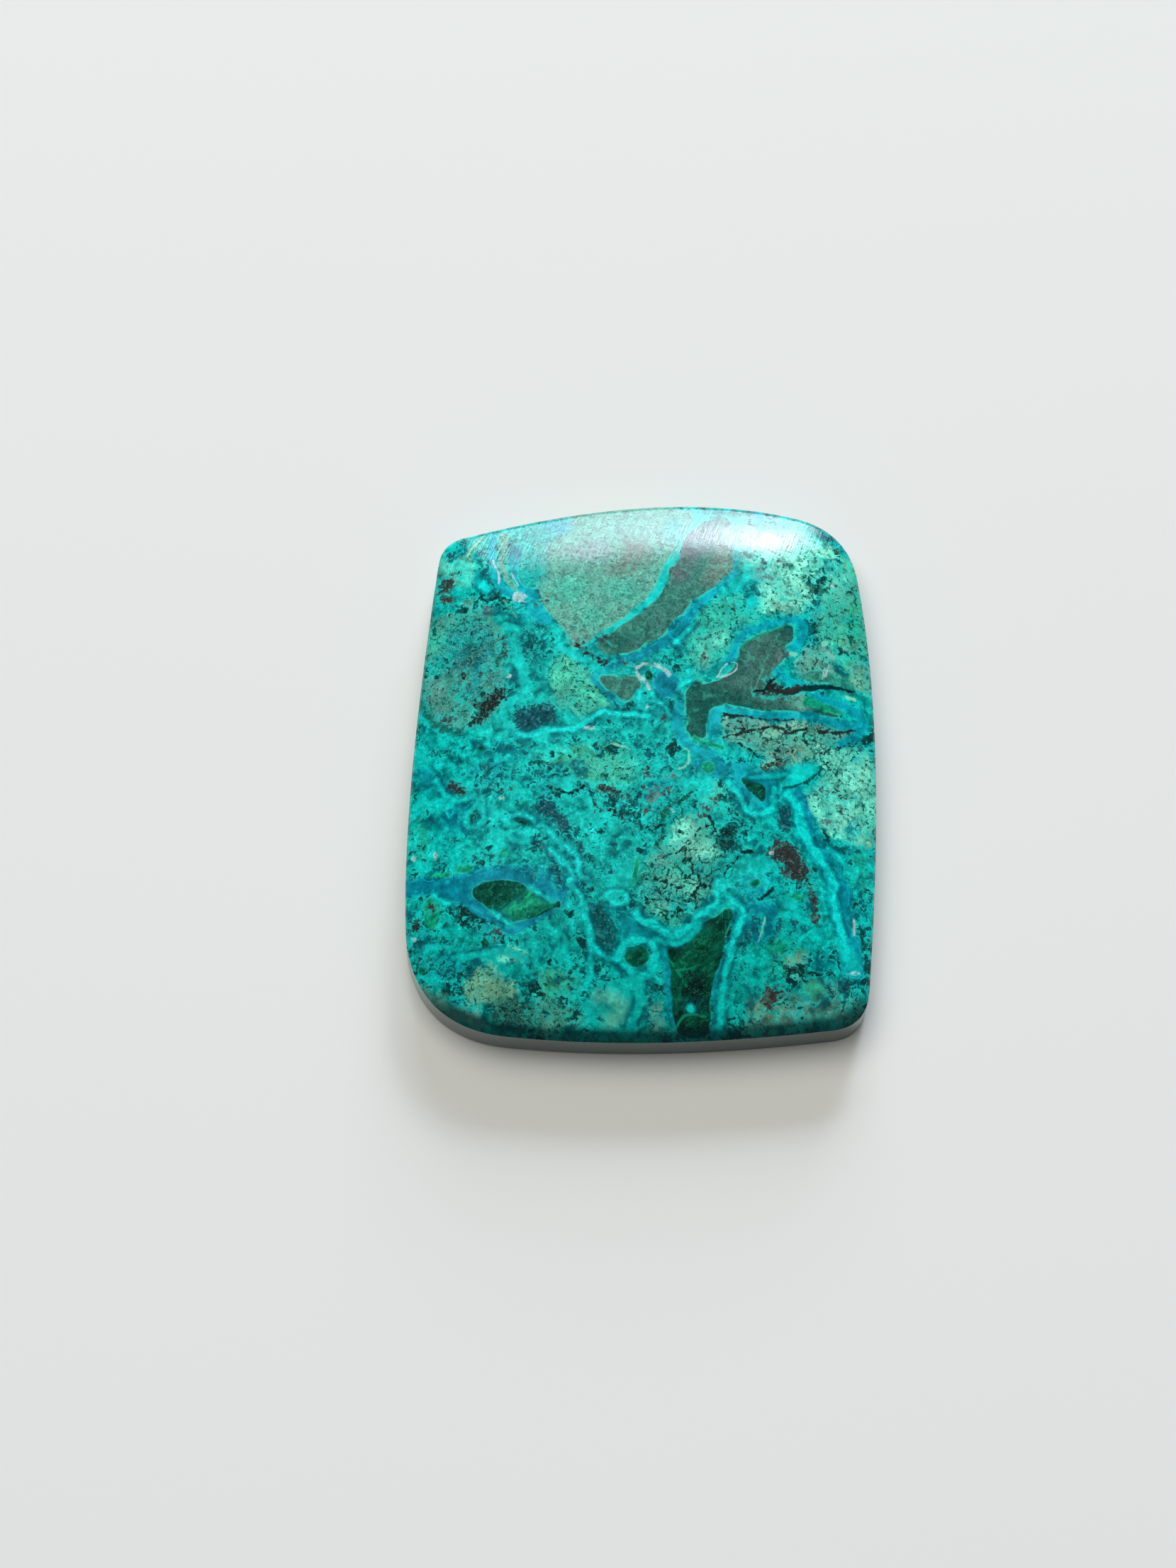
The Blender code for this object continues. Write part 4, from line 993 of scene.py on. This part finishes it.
def draw_markings(piece):
    """Keeps each layer's depth and tint on the mesh, for the material."""
    places = pattern_places(coordinates(piece.data) / MM)
    store(piece.data, "ground_tint", "FLOAT_COLOR", with_alpha(ground_of(GROUND, places)))
    for name, markings in LAYERS.items():
        depth, tint = layer_of(markings, places)
        store(piece.data, name + "_depth", "FLOAT", depth)
        store(piece.data, name + "_tint", "FLOAT_COLOR", with_alpha(tint))


# --- The material --------------------------------------------------------------------------------

# The noises that the layers read: at the stone's own places, or at places drawn out of line over a wide or
# a tight reach; then the size of their features in millimetres, their detail and their roughness
NOISES = {
    "flow": ("wide", 1.818, 2.5, 0.45),  # bends of the streams of bright mineral
    "cloud": ("wide", 1.111, 4.0, 0.52),  # clouds of colour
    "patch": ("place", 3.03, 2.0, 0.5),  # where dark pockets swarm
    "pocket": ("tight", 0.6897, 3.0, 0.5),  # the dark pockets
    "mottle": ("tight", 0.4348, 4.0, 0.55),  # mottling inside each marking
    "fleck": ("tight", 0.25, 3.0, 0.55),  # specks
    "grain": ("place", 0.1429, 3.0, 0.55),  # the real grain is finer: this is as fine as the render shows
}
WIDE_SWIRL = (1.8, 2.6)  # the length and the reach of a swirl, in millimetres
TIGHT_SWIRL = (0.5, 0.7)
BAND_SPACING = 0.2856  # millimetres between the fine bands along a vein's edge
BAND_WAVER = 24.0  # how far the clouds bend these bands, in radians
SILK = (0.9, 0.25, 1.0)  # length, width and depth of malachite's silky fibres, in millimetres
SILK_ANGLE = math.radians(35)
GRAIN_SPACING = 0.8  # millimetres across the pale stone's grains, which the dendrites run round
SCRATCH = (2.2, 0.11, 1.0)  # real scratches are finer: these are as broad as it takes to show
SCRATCH_ANGLE = math.radians(70)
RELIEF = 0.000026  # metres: what the polish leaves of scratches and dimples
NOISE_RANGE = (0.3, 0.7)  # what a noise mostly stays between
DARKEST = 0.05  # the least that a noise leaves of a colour

# Where the sides change, in millimetres: each pair is where it begins and where it is full
FRONT_PAINTED_SHADE = (EDGE_HEIGHT + 0.42, EDGE_HEIGHT + 0.15)  # the height of the painted shade on the face's edge, at the front
FRONT_REACH = (-14.0, -16.0)  # and how far forward that painted shade lies
# the painted shade on the wall: from the face's edge, full a little below the wall's top
WALL_PAINTED_SHADE = (EDGE_HEIGHT, WALL_TOP - 0.25)
BACK_DUST = (0.25, 0.05)
SAWN_HEIGHT = 0.05
SAWN_ROUGHNESS = 0.5
QUARTZ_IOR = 1.5  # chrysocolla that is hard enough to polish is soaked with quartz


def add(tree, kind, inputs=None, output=0, **settings):
    """Adds a node with its settings, links or sets its inputs, and gives one of its outputs."""
    made = tree.nodes.new("ShaderNode" + kind)
    for key, value in settings.items():
        setattr(made, key, value)
    for key, value in (inputs or {}).items():
        if isinstance(value, bpy.types.NodeSocket):
            tree.links.new(value, made.inputs[key])
        else:
            made.inputs[key].default_value = value
    return made.outputs[output]


def swirled(tree, place, length, reach):
    """The places drawn out of line, so that what is read at them swirls as the mineral did when it filled
    the cracks."""
    drift = add(tree, "TexNoise", {"Vector": place, "Scale": 1 / length, "Detail": 3.0}, "Color")
    drift = add(tree, "VectorMath", {0: drift, 1: (0.5, 0.5, 0.5)}, operation="SUBTRACT")
    return add(tree, "VectorMath", {0: drift, 1: (reach, reach, reach), 2: place}, operation="MULTIPLY_ADD")


def measures_of(tree):
    """What every layer reads: the object's own coordinates in millimetres, and the noises."""
    place = add(tree, "VectorMath", {0: add(tree, "TexCoord", output="Object"), "Scale": 1 / MM},
                operation="SCALE")
    places = {
        "place": place,
        "wide": swirled(tree, place, *WIDE_SWIRL),
        "tight": swirled(tree, place, *TIGHT_SWIRL),
    }
    by = SimpleNamespace(**places)
    for name, (where, size, detail, roughness) in NOISES.items():
        setattr(by, name, add(tree, "TexNoise", {"Vector": places[where], "Scale": 1 / size,
                                                 "Detail": detail, "Roughness": roughness}))
    return by


def lay(tree, below, above, *limits, strength=1.0):
    """Lays a colour over another where every limit holds. Each limit is a measure, and the values of it at
    which the cover begins and is full."""
    cover = strength
    for measure, begin, full in limits:
        share = add(tree, "MapRange", {"Value": measure, "From Min": begin, "From Max": full},
                    interpolation_type="SMOOTHSTEP")
        cover = add(tree, "Math", {0: cover, 1: share}, operation="MULTIPLY")
    if isinstance(above, str):
        above = (*linear(above), 1)
    return add(tree, "Mix", {0: cover, 6: below, 7: above}, 2, data_type="RGBA")


def varied(tree, colour, measure, low, high):
    """The colour made darker and lighter by a noise."""
    factor = add(tree, "MapRange", {"Value": measure, "From Min": NOISE_RANGE[0],
                                    "From Max": NOISE_RANGE[1], "To Min": low, "To Max": high}, clamp=False)
    factor = add(tree, "Math", {0: factor, 1: DARKEST}, operation="MAXIMUM")
    return add(tree, "VectorMath", {0: colour, "Scale": factor}, operation="SCALE")


def tint_of(tree, name, *shades):
    """A layer's own colour, varied by each noise."""
    colour = add(tree, "Attribute", {}, "Color", attribute_name=name + "_tint")
    for measure, low, high in shades:
        colour = varied(tree, colour, measure, low, high)
    return colour


def depth_of(tree, name, *tears):
    """A layer's depth, in millimetres, torn ragged by each noise over a reach."""
    depth = add(tree, "Attribute", {}, "Fac", attribute_name=name + "_depth")
    for measure, reach in tears:
        tear = add(tree, "Math", {0: measure, 1: -0.5}, operation="ADD")
        depth = add(tree, "Math", {0: tear, 1: reach, 2: depth}, operation="MULTIPLY_ADD")
    return depth


def line_at(tree, measure, value):
    """How far a noise is from a value: near 0 along the lines that run through that value."""
    away = add(tree, "Math", {0: measure, 1: value}, operation="SUBTRACT")
    return add(tree, "Math", {0: away}, operation="ABSOLUTE")


def ground_colour(tree, by):
    """Blue-green clouds with streams of bright mineral and dark pockets of copper oxide."""
    colour = tint_of(tree, "ground", (by.cloud, 0.45, 1.65), (by.patch, 0.75, 1.2))
    colour = lay(tree, colour, "#02D2C6", (by.cloud, 0.5, 0.64), strength=0.65)
    colour = lay(tree, colour, "#00707C", (by.cloud, 0.46, 0.35), strength=0.7)
    # The streams, where the mineral has run round what it met
    colour = lay(tree, colour, "#00DCD0", (line_at(tree, by.flow, 0.5), 0.05, 0.0), (by.cloud, 0.42, 0.54),
                 strength=0.7)
    colour = lay(tree, colour, "#00E4DA", (line_at(tree, by.flow, 0.57), 0.022, 0.004),
                 (by.mottle, 0.4, 0.55), strength=0.6)
    colour = lay(tree, colour, "#30F0DE", (line_at(tree, by.pocket, 0.44), 0.016, 0.003),
                 (by.cloud, 0.46, 0.56), strength=0.6)
    colour = varied(tree, colour, by.mottle, 0.6, 1.38)
    # The pockets, with a bright rim
    swarm = add(tree, "Math", {0: by.patch, 1: -0.8, 2: 1.015}, operation="MULTIPLY_ADD")
    pit = add(tree, "Math", {0: by.pocket, 1: swarm}, operation="SUBTRACT")
    colour = lay(tree, colour, "#14DACB", (pit, -0.09, -0.02), strength=0.6)
    colour = lay(tree, colour, "#03686A", (pit, -0.01, 0.02), strength=0.9)
    colour = lay(tree, colour, "#06302E", (pit, 0.01, 0.06), (by.mottle, 0.4, 0.5), strength=0.85)
    colour = varied(tree, colour, by.grain, 0.82, 1.2)
    # Fine dark specks, and pale flecks of quartz beside them
    speck = add(tree, "Math", {0: by.fleck, 1: swarm}, operation="SUBTRACT")
    colour = lay(tree, colour, "#053A38", (speck, 0.0, 0.05), strength=0.85)
    return lay(tree, colour, "#6CE8D0", (by.grain, 0.6, 0.7), (speck, -0.12, -0.03), strength=0.6)


def lay_clasts(tree, colour, by):
    """Clasts of older, paler stone, soaked with turquoise in places."""
    depth = depth_of(tree, "clast", (by.cloud, 1.6), (by.mottle, 1.1))
    clast = tint_of(tree, "clast", (by.cloud, 0.7, 1.5), (by.mottle, 0.75, 1.35), (by.grain, 0.8, 1.25))
    clast = lay(tree, clast, "#08C0B0", (by.flow, 0.47, 0.56), (by.mottle, 0.4, 0.56), strength=0.7)
    clast = lay(tree, clast, "#0C7C70", (by.mottle, 0.46, 0.38), strength=0.75)
    clast = lay(tree, clast, "#8CDCC4", (line_at(tree, by.fleck, 0.5), 0.03, 0.008), strength=0.5)
    clast = lay(tree, clast, "#063836", (by.fleck, 0.56, 0.62), strength=0.85)
    return lay(tree, colour, clast, (depth, -0.25, 0.35), strength=0.9)


def lay_veins(tree, colour, by):
    """Blue veins, clear, with finer bands along their edges."""
    depth = depth_of(tree, "vein", (by.mottle, 0.4))
    waver = add(tree, "Math", {0: by.cloud, 1: BAND_WAVER}, operation="MULTIPLY")
    bands = add(tree, "Math", {0: depth, 1: 2 * math.pi / BAND_SPACING, 2: waver}, operation="MULTIPLY_ADD")
    bands = add(tree, "Math", {0: bands}, operation="SINE")
    vein = tint_of(tree, "vein", (by.cloud, 0.6, 1.4), (by.mottle, 0.7, 1.3), (by.grain, 0.9, 1.1))
    vein = lay(tree, vein, "#18D4DC", (bands, 0.2, 1.0), (depth, 0.5, 0.2), (by.mottle, 0.44, 0.56),
               strength=0.6)
    return lay(tree, colour, vein, (depth, -0.16, 0.12), strength=0.95)


def lay_splinters(tree, colour, by):
    """Grey-green splinters, finely mottled, with a bright seam round them."""
    depth = depth_of(tree, "fragment", (by.cloud, 0.3), (by.mottle, 0.25))
    splinter = tint_of(tree, "fragment", (by.mottle, 0.62, 1.42), (by.grain, 0.62, 1.42))
    splinter = lay(tree, splinter, "#5C7C78", (by.cloud, 0.5, 0.6), (by.fleck, 0.46, 0.56), strength=0.25)
    paler = add(tree, "VectorMath", {0: splinter, "Scale": 1.7}, operation="SCALE")
    splinter = lay(tree, splinter, paler, (line_at(tree, by.fleck, 0.5), 0.026, 0.008),
                   (by.cloud, 0.42, 0.54), strength=0.5)
    splinter = lay(tree, splinter, "#48B89C", (by.mottle, 0.5, 0.62), (by.cloud, 0.54, 0.46), strength=0.4)
    splinter = lay(tree, splinter, "#1C4A44", (by.fleck, 0.57, 0.64), strength=0.6)
    colour = lay(tree, colour, "#2FD8C0", (depth, -0.16, -0.05), (by.cloud, 0.4, 0.52), strength=0.8)
    return lay(tree, colour, splinter, (depth, -0.05, 0.05))


def lay_malachite(tree, colour, by):
    """Malachite, silky across its bands, with thin pale seams."""
    depth = depth_of(tree, "malachite", (by.mottle, 0.2))
    silk = add(tree, "Mapping", {"Vector": by.tight, "Rotation": (0, 0, SILK_ANGLE), "Scale": SILK},
               vector_type="TEXTURE")
    silk = add(tree, "TexNoise", {"Vector": silk, "Scale": 1.0, "Detail": 3.0, "Roughness": 0.55})
    green = tint_of(tree, "malachite", (silk, 0.45, 1.6), (by.mottle, 0.6, 1.35), (by.grain, 0.8, 1.2))
    green = lay(tree, green, "#1CB48A", (line_at(tree, by.pocket, 0.52), 0.014, 0.003),
                (by.cloud, 0.46, 0.56), strength=0.6)
    green = lay(tree, green, "#031C16", (by.fleck, 0.57, 0.64), (by.patch, 0.42, 0.56), strength=0.45)
    green = lay(tree, green, "#2CA87C", (by.grain, 0.57, 0.66), (by.mottle, 0.46, 0.56), strength=0.5)
    colour = lay(tree, colour, "#35D8B8", (depth, -0.1, -0.05), (by.cloud, 0.48, 0.58), strength=0.5)
    return lay(tree, colour, green, (depth, -0.06, 0.06))


def lay_dendrites(tree, colour, by):
    """Dendrites: black oxide that has crept along the boundaries of the pale stone's grains."""
    depth = depth_of(tree, "dendrite", (by.mottle, 0.8))
    boundary = add(tree, "TexVoronoi", {"Vector": by.tight, "Scale": 1 / GRAIN_SPACING, "Randomness": 1.0},
                   "Distance", feature="DISTANCE_TO_EDGE")
    ink = tint_of(tree, "dendrite", (by.grain, 0.4, 2.2))
    colour = lay(tree, colour, ink, (boundary, 0.07, 0.025), (depth, -0.1, 0.3), (by.cloud, 0.43, 0.49),
                 (by.fleck, 0.4, 0.46), strength=0.9)
    return lay(tree, colour, ink, (by.mottle, 0.57, 0.63), (depth, 0.0, 0.4), strength=0.65)


def lay_oxides(tree, colour, by):
    """Oxides: ragged clusters of dark specks on stained ground, with bright ground round them."""
    depth = depth_of(tree, "oxide", (by.mottle, 1.0), (by.fleck, 1.6))
    colour = lay(tree, colour, "#0CDACC", (depth, -0.36, -0.1), (by.mottle, 0.42, 0.56), strength=0.6)
    stain = tint_of(tree, "oxide", (by.mottle, 0.5, 2.0), (by.grain, 0.6, 1.5))
    colour = lay(tree, colour, stain, (depth, -0.05, 0.25), strength=0.75)
    oxide = tint_of(tree, "oxide", (by.fleck, 0.2, 1.8), (by.grain, 0.6, 1.5))
    colour = lay(tree, colour, oxide, (depth, -0.06, 0.12), (by.mottle, 0.66, 0.54), strength=0.92)
    return lay(tree, colour, "#5C8C88", (depth, 0.0, 0.2), (by.grain, 0.53, 0.62), (by.mottle, 0.44, 0.56),
               strength=0.6)


def lay_cracks(tree, colour, by):
    """Thin open cracks, black inside."""
    depth = depth_of(tree, "crack", (by.mottle, 0.2), (by.fleck, 0.36))
    return lay(tree, colour, tint_of(tree, "crack", (by.fleck, 0.3, 1.9)), (depth, -0.05, 0.02),
               strength=0.95)


def lay_lace(tree, colour, by):
    """Bright lace with a soft glow beside it, on a darker bank."""
    depth = depth_of(tree, "lace", (by.cloud, 0.5), (by.mottle, 0.4))
    lace = tint_of(tree, "lace", (by.mottle, 0.7, 1.3), (by.grain, 0.8, 1.2))
    colour = lay(tree, colour, "#006470", (depth, -0.5, -0.2), (by.cloud, 0.6, 0.46), strength=0.65)
    colour = lay(tree, colour, "#04C8C2", (depth, -0.2, -0.04), strength=0.7)
    return lay(tree, colour, lace, (depth, -0.04, 0.04), (by.mottle, 0.34, 0.48), strength=0.95)


def lay_seams(tree, colour, by):
    """Hair-fine bright seams that come and go."""
    depth = depth_of(tree, "seam", (by.mottle, 0.1))
    return lay(tree, colour, tint_of(tree, "seam"), (depth, -0.05, 0.02), (by.cloud, 0.34, 0.44),
               strength=0.8)


def lay_druse(tree, colour, by):
    """Druse: a sugary crust of small quartz crystals."""
    depth = depth_of(tree, "druse", (by.mottle, 0.3), (by.fleck, 0.3))
    return lay(tree, colour, tint_of(tree, "druse", (by.fleck, 0.5, 1.5)), (depth, -0.06, 0.08),
               strength=0.65)


def paint_shade_and_dust(tree, colour, by, height):
    """Paints shade on the front edge of the face and on the wall, and dusts the back, which is
    only sawn."""
    forward = add(tree, "SeparateXYZ", {0: by.place}, 1)
    # Painted shade: a dark band along the face's edge at the front
    colour = lay(tree, colour, "#03282C", (height, *FRONT_PAINTED_SHADE), (forward, *FRONT_REACH), strength=0.85)
    # Painted shade over the wall, full from a little below its top
    colour = lay(tree, colour, "#042A2C", (height, *WALL_PAINTED_SHADE), strength=0.6)
    return lay(tree, colour, "#7FA8A0", (height, *BACK_DUST), strength=0.45)


# In the order that they cover each other
LAYERS_OF_COLOUR = (lay_clasts, lay_veins, lay_splinters, lay_malachite, lay_dendrites, lay_oxides,
                    lay_cracks, lay_lace, lay_seams, lay_druse)


def polished_chrysocolla(polish):
    """Chrysocolla in quartz, ground and polished: hard enough for a bright gloss, with fine scratches."""
    material = bpy.data.materials.new("polished_chrysocolla")
    material.use_nodes = True
    tree = material.node_tree
    tree.nodes.clear()
    by = measures_of(tree)
    height = add(tree, "SeparateXYZ", {0: by.place}, 2)

    colour = ground_colour(tree, by)
    for lay_next in LAYERS_OF_COLOUR:
        colour = lay_next(tree, colour, by)
    # Painted shade on the front edge and the wall, and dust on the sawn back
    colour = paint_shade_and_dust(tree, colour, by, height)

    shader = tree.nodes.new("ShaderNodeBsdfPrincipled")
    tree.links.new(colour, shader.inputs["Base Color"])
    gloss = add(tree, "MapRange", {"Value": height, "From Min": SAWN_HEIGHT, "From Max": BACK_BEVEL,
                                   "To Min": SAWN_ROUGHNESS, "To Max": polish})
    tree.links.new(gloss, shader.inputs["Roughness"])
    shader.inputs["IOR"].default_value = QUARTZ_IOR
    # Polishing scratches, nearly all one way, and the faint dimpling of uneven hardness
    scratch = add(tree, "Mapping", {"Vector": by.place, "Rotation": (0, 0, SCRATCH_ANGLE),
                                    "Scale": SCRATCH}, vector_type="TEXTURE")
    scratch = add(tree, "TexNoise", {"Vector": scratch, "Scale": 1.0, "Detail": 2.0, "Roughness": 0.6})
    relief = add(tree, "Math", {0: by.mottle, 1: 0.5, 2: scratch}, operation="MULTIPLY_ADD")
    bump = add(tree, "Bump", {"Height": relief, "Strength": 0.5, "Distance": RELIEF})
    tree.links.new(bump, shader.inputs["Normal"])
    out = tree.nodes.new("ShaderNodeOutputMaterial")
    tree.links.new(shader.outputs[0], out.inputs[0])
    return material


# --- The studio ----------------------------------------------------------------------------------

CAMERA_PLACE = Vector((-3.444, -39.202, 135.632)) * MM
CAMERA_TILT = math.radians(16)
LENS = 50.0  # millimetres
SENSOR = 36.0
CLIP_START = 0.001  # metres
FLOOR_SIZE = 3.0
MATT = 0.9  # the paper's roughness
AIR = 0.055  # how bright the dim air is beside the wall
DAYLIGHT = "#E6F0FF"
WARM_WHITE = "#FFFBF6"


def add_camera():
    camera = bpy.data.objects.new("camera", bpy.data.cameras.new("camera"))
    camera.data.lens = LENS
    camera.data.sensor_width = SENSOR
    camera.location = CAMERA_PLACE
    camera.rotation_euler = (CAMERA_TILT, 0, 0)
    camera.data.clip_start = CLIP_START
    bpy.context.scene.collection.objects.link(camera)
    bpy.context.scene.camera = camera


def add_panel(name, place, size, power, colour, roll=0.0, shines=True):
    """A soft box at a place, in metres, that looks at the stone and is rolled by some degrees. One that
    doesn't shine isn't mirrored."""
    lamp = bpy.data.lights.new(name, "AREA")
    lamp.color = linear(colour)
    lamp.shape = "RECTANGLE"
    lamp.size, lamp.size_y = size
    lamp.energy = power
    holder = bpy.data.objects.new(name, lamp)
    holder.location = place
    holder.visible_glossy = shines
    aim = (-Vector(place)).to_track_quat("-Z", "Y") @ Quaternion((0, 0, 1), math.radians(roll))
    holder.rotation_euler = aim.to_euler()
    bpy.context.scene.collection.objects.link(holder)


def add_floor(paper):
    """Matt paper, which scatters the light evenly and mirrors nothing."""
    bpy.ops.object.select_all(action="DESELECT")
    bpy.ops.mesh.primitive_plane_add(size=FLOOR_SIZE)
    floor = bpy.context.active_object
    floor.name = floor.data.name = "studio_floor"
    material = bpy.data.materials.new("matt_paper")
    material.use_nodes = True
    shader = material.node_tree.nodes["Principled BSDF"]
    shader.inputs["Base Color"].default_value = (*paper, 1)
    shader.inputs["Roughness"].default_value = MATT
    floor.data.materials.append(material)


def light_world(paper):
    """Dim air, so that the polish mirrors little but the window, and a pale wall behind it all."""
    world = bpy.data.worlds.new("studio_air")
    world.use_nodes = True
    tree = world.node_tree
    tree.nodes.clear()
    dim = add(tree, "Background", {"Color": (*linear("#DDE4E4"), 1), "Strength": AIR})
    wall = add(tree, "Background", {"Color": (*paper, 1), "Strength": 1.0})
    seen = add(tree, "LightPath", output="Is Camera Ray")
    out = tree.nodes.new("ShaderNodeOutputWorld")
    tree.links.new(add(tree, "MixShader", {0: seen, 1: dim, 2: wall}), out.inputs[0])
    bpy.context.scene.world = world


# --- The add-on ----------------------------------------------------------------------------------

class ChrysocollaSettings(bpy.types.PropertyGroup):
    """What a user would change."""

    top: bpy.props.FloatProperty(
        name="Thickness", description="Height of the dome's top above the back", unit="LENGTH",
        default=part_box(STONE_NODE)[1].z, min=0.001)
    polish: bpy.props.FloatProperty(
        name="Polish", description="Roughness of the face: lower mirrors more sharply", subtype="FACTOR",
        default=0.16, min=0.02, max=1.0)
    paper: bpy.props.FloatVectorProperty(
        name="Paper", description="Colour of the studio's floor", subtype="COLOR",
        default=linear("#F3F5F1"), min=0.0, max=1.0)


class CHRYSOCOLLA_OT_cabochon(bpy.types.Operator):
    """Model the polished stone over the frame's solid"""

    bl_idname = "chrysocolla.cabochon"
    bl_label = "Polished Cabochon"

    def execute(self, context):
        top = context.scene.chrysocolla.top / MM
        face_edge = outline_of_frame(EDGE_HEIGHT)
        stone = lay_face(face_edge, corner_places(face_edge), top)
        back_edge = add_side(stone, face_edge)
        close_back(stone, lay_back(back_edge, corner_places(back_edge)))
        draw_markings(stone)
        stone.data.materials.append(polished_chrysocolla(context.scene.chrysocolla.polish))
        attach(stone, "root")
        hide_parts(STONE_NODE)
        return {"FINISHED"}


class CHRYSOCOLLA_OT_studio(bpy.types.Operator):
    """Set up the floor, the lights and the camera"""

    bl_idname = "chrysocolla.studio"
    bl_label = "Studio"

    def execute(self, context):
        context.scene.view_settings.view_transform = "Standard"
        paper = context.scene.chrysocolla.paper
        add_floor(paper)
        light_world(paper)
        add_panel("window", (0.16, 1.16, 0.55), (0.74, 0.36), 8.2, DAYLIGHT, roll=12)
        add_panel("bright pane", (0.25, 1.12, 0.62), (0.2, 0.18), 3.4, DAYLIGHT)
        add_panel("window sill", (0.12, 1.16, 0.3), (0.8, 0.15), 2.9, DAYLIGHT, roll=4)
        add_panel("sky", (-0.28, 0.38, 1.4), (1.2, 1.2), 15.2, WARM_WHITE, shines=False)
        add_camera()
        return {"FINISHED"}


class CHRYSOCOLLA_PT_panel(bpy.types.Panel):
    """Chrysocolla cabochon"""

    bl_label = "Chrysocolla Cabochon"
    bl_idname = "CHRYSOCOLLA_PT_panel"
    bl_space_type = "VIEW_3D"
    bl_region_type = "UI"
    bl_category = "Chrysocolla"

    def draw(self, context):
        settings = context.scene.chrysocolla
        self.layout.prop(settings, "top")
        self.layout.prop(settings, "polish")
        self.layout.prop(settings, "paper")
        self.layout.operator(CHRYSOCOLLA_OT_cabochon.bl_idname)
        self.layout.operator(CHRYSOCOLLA_OT_studio.bl_idname)


CLASSES = (ChrysocollaSettings, CHRYSOCOLLA_OT_cabochon, CHRYSOCOLLA_OT_studio, CHRYSOCOLLA_PT_panel)


def register():
    for made in CLASSES:
        bpy.utils.register_class(made)
    bpy.types.Scene.chrysocolla = bpy.props.PointerProperty(type=ChrysocollaSettings)


def unregister():
    del bpy.types.Scene.chrysocolla
    for made in reversed(CLASSES):
        bpy.utils.unregister_class(made)


def main():
    register()
    bpy.ops.chrysocolla.studio()
    bpy.ops.chrysocolla.cabochon()


if __name__ == "__main__":
    main()
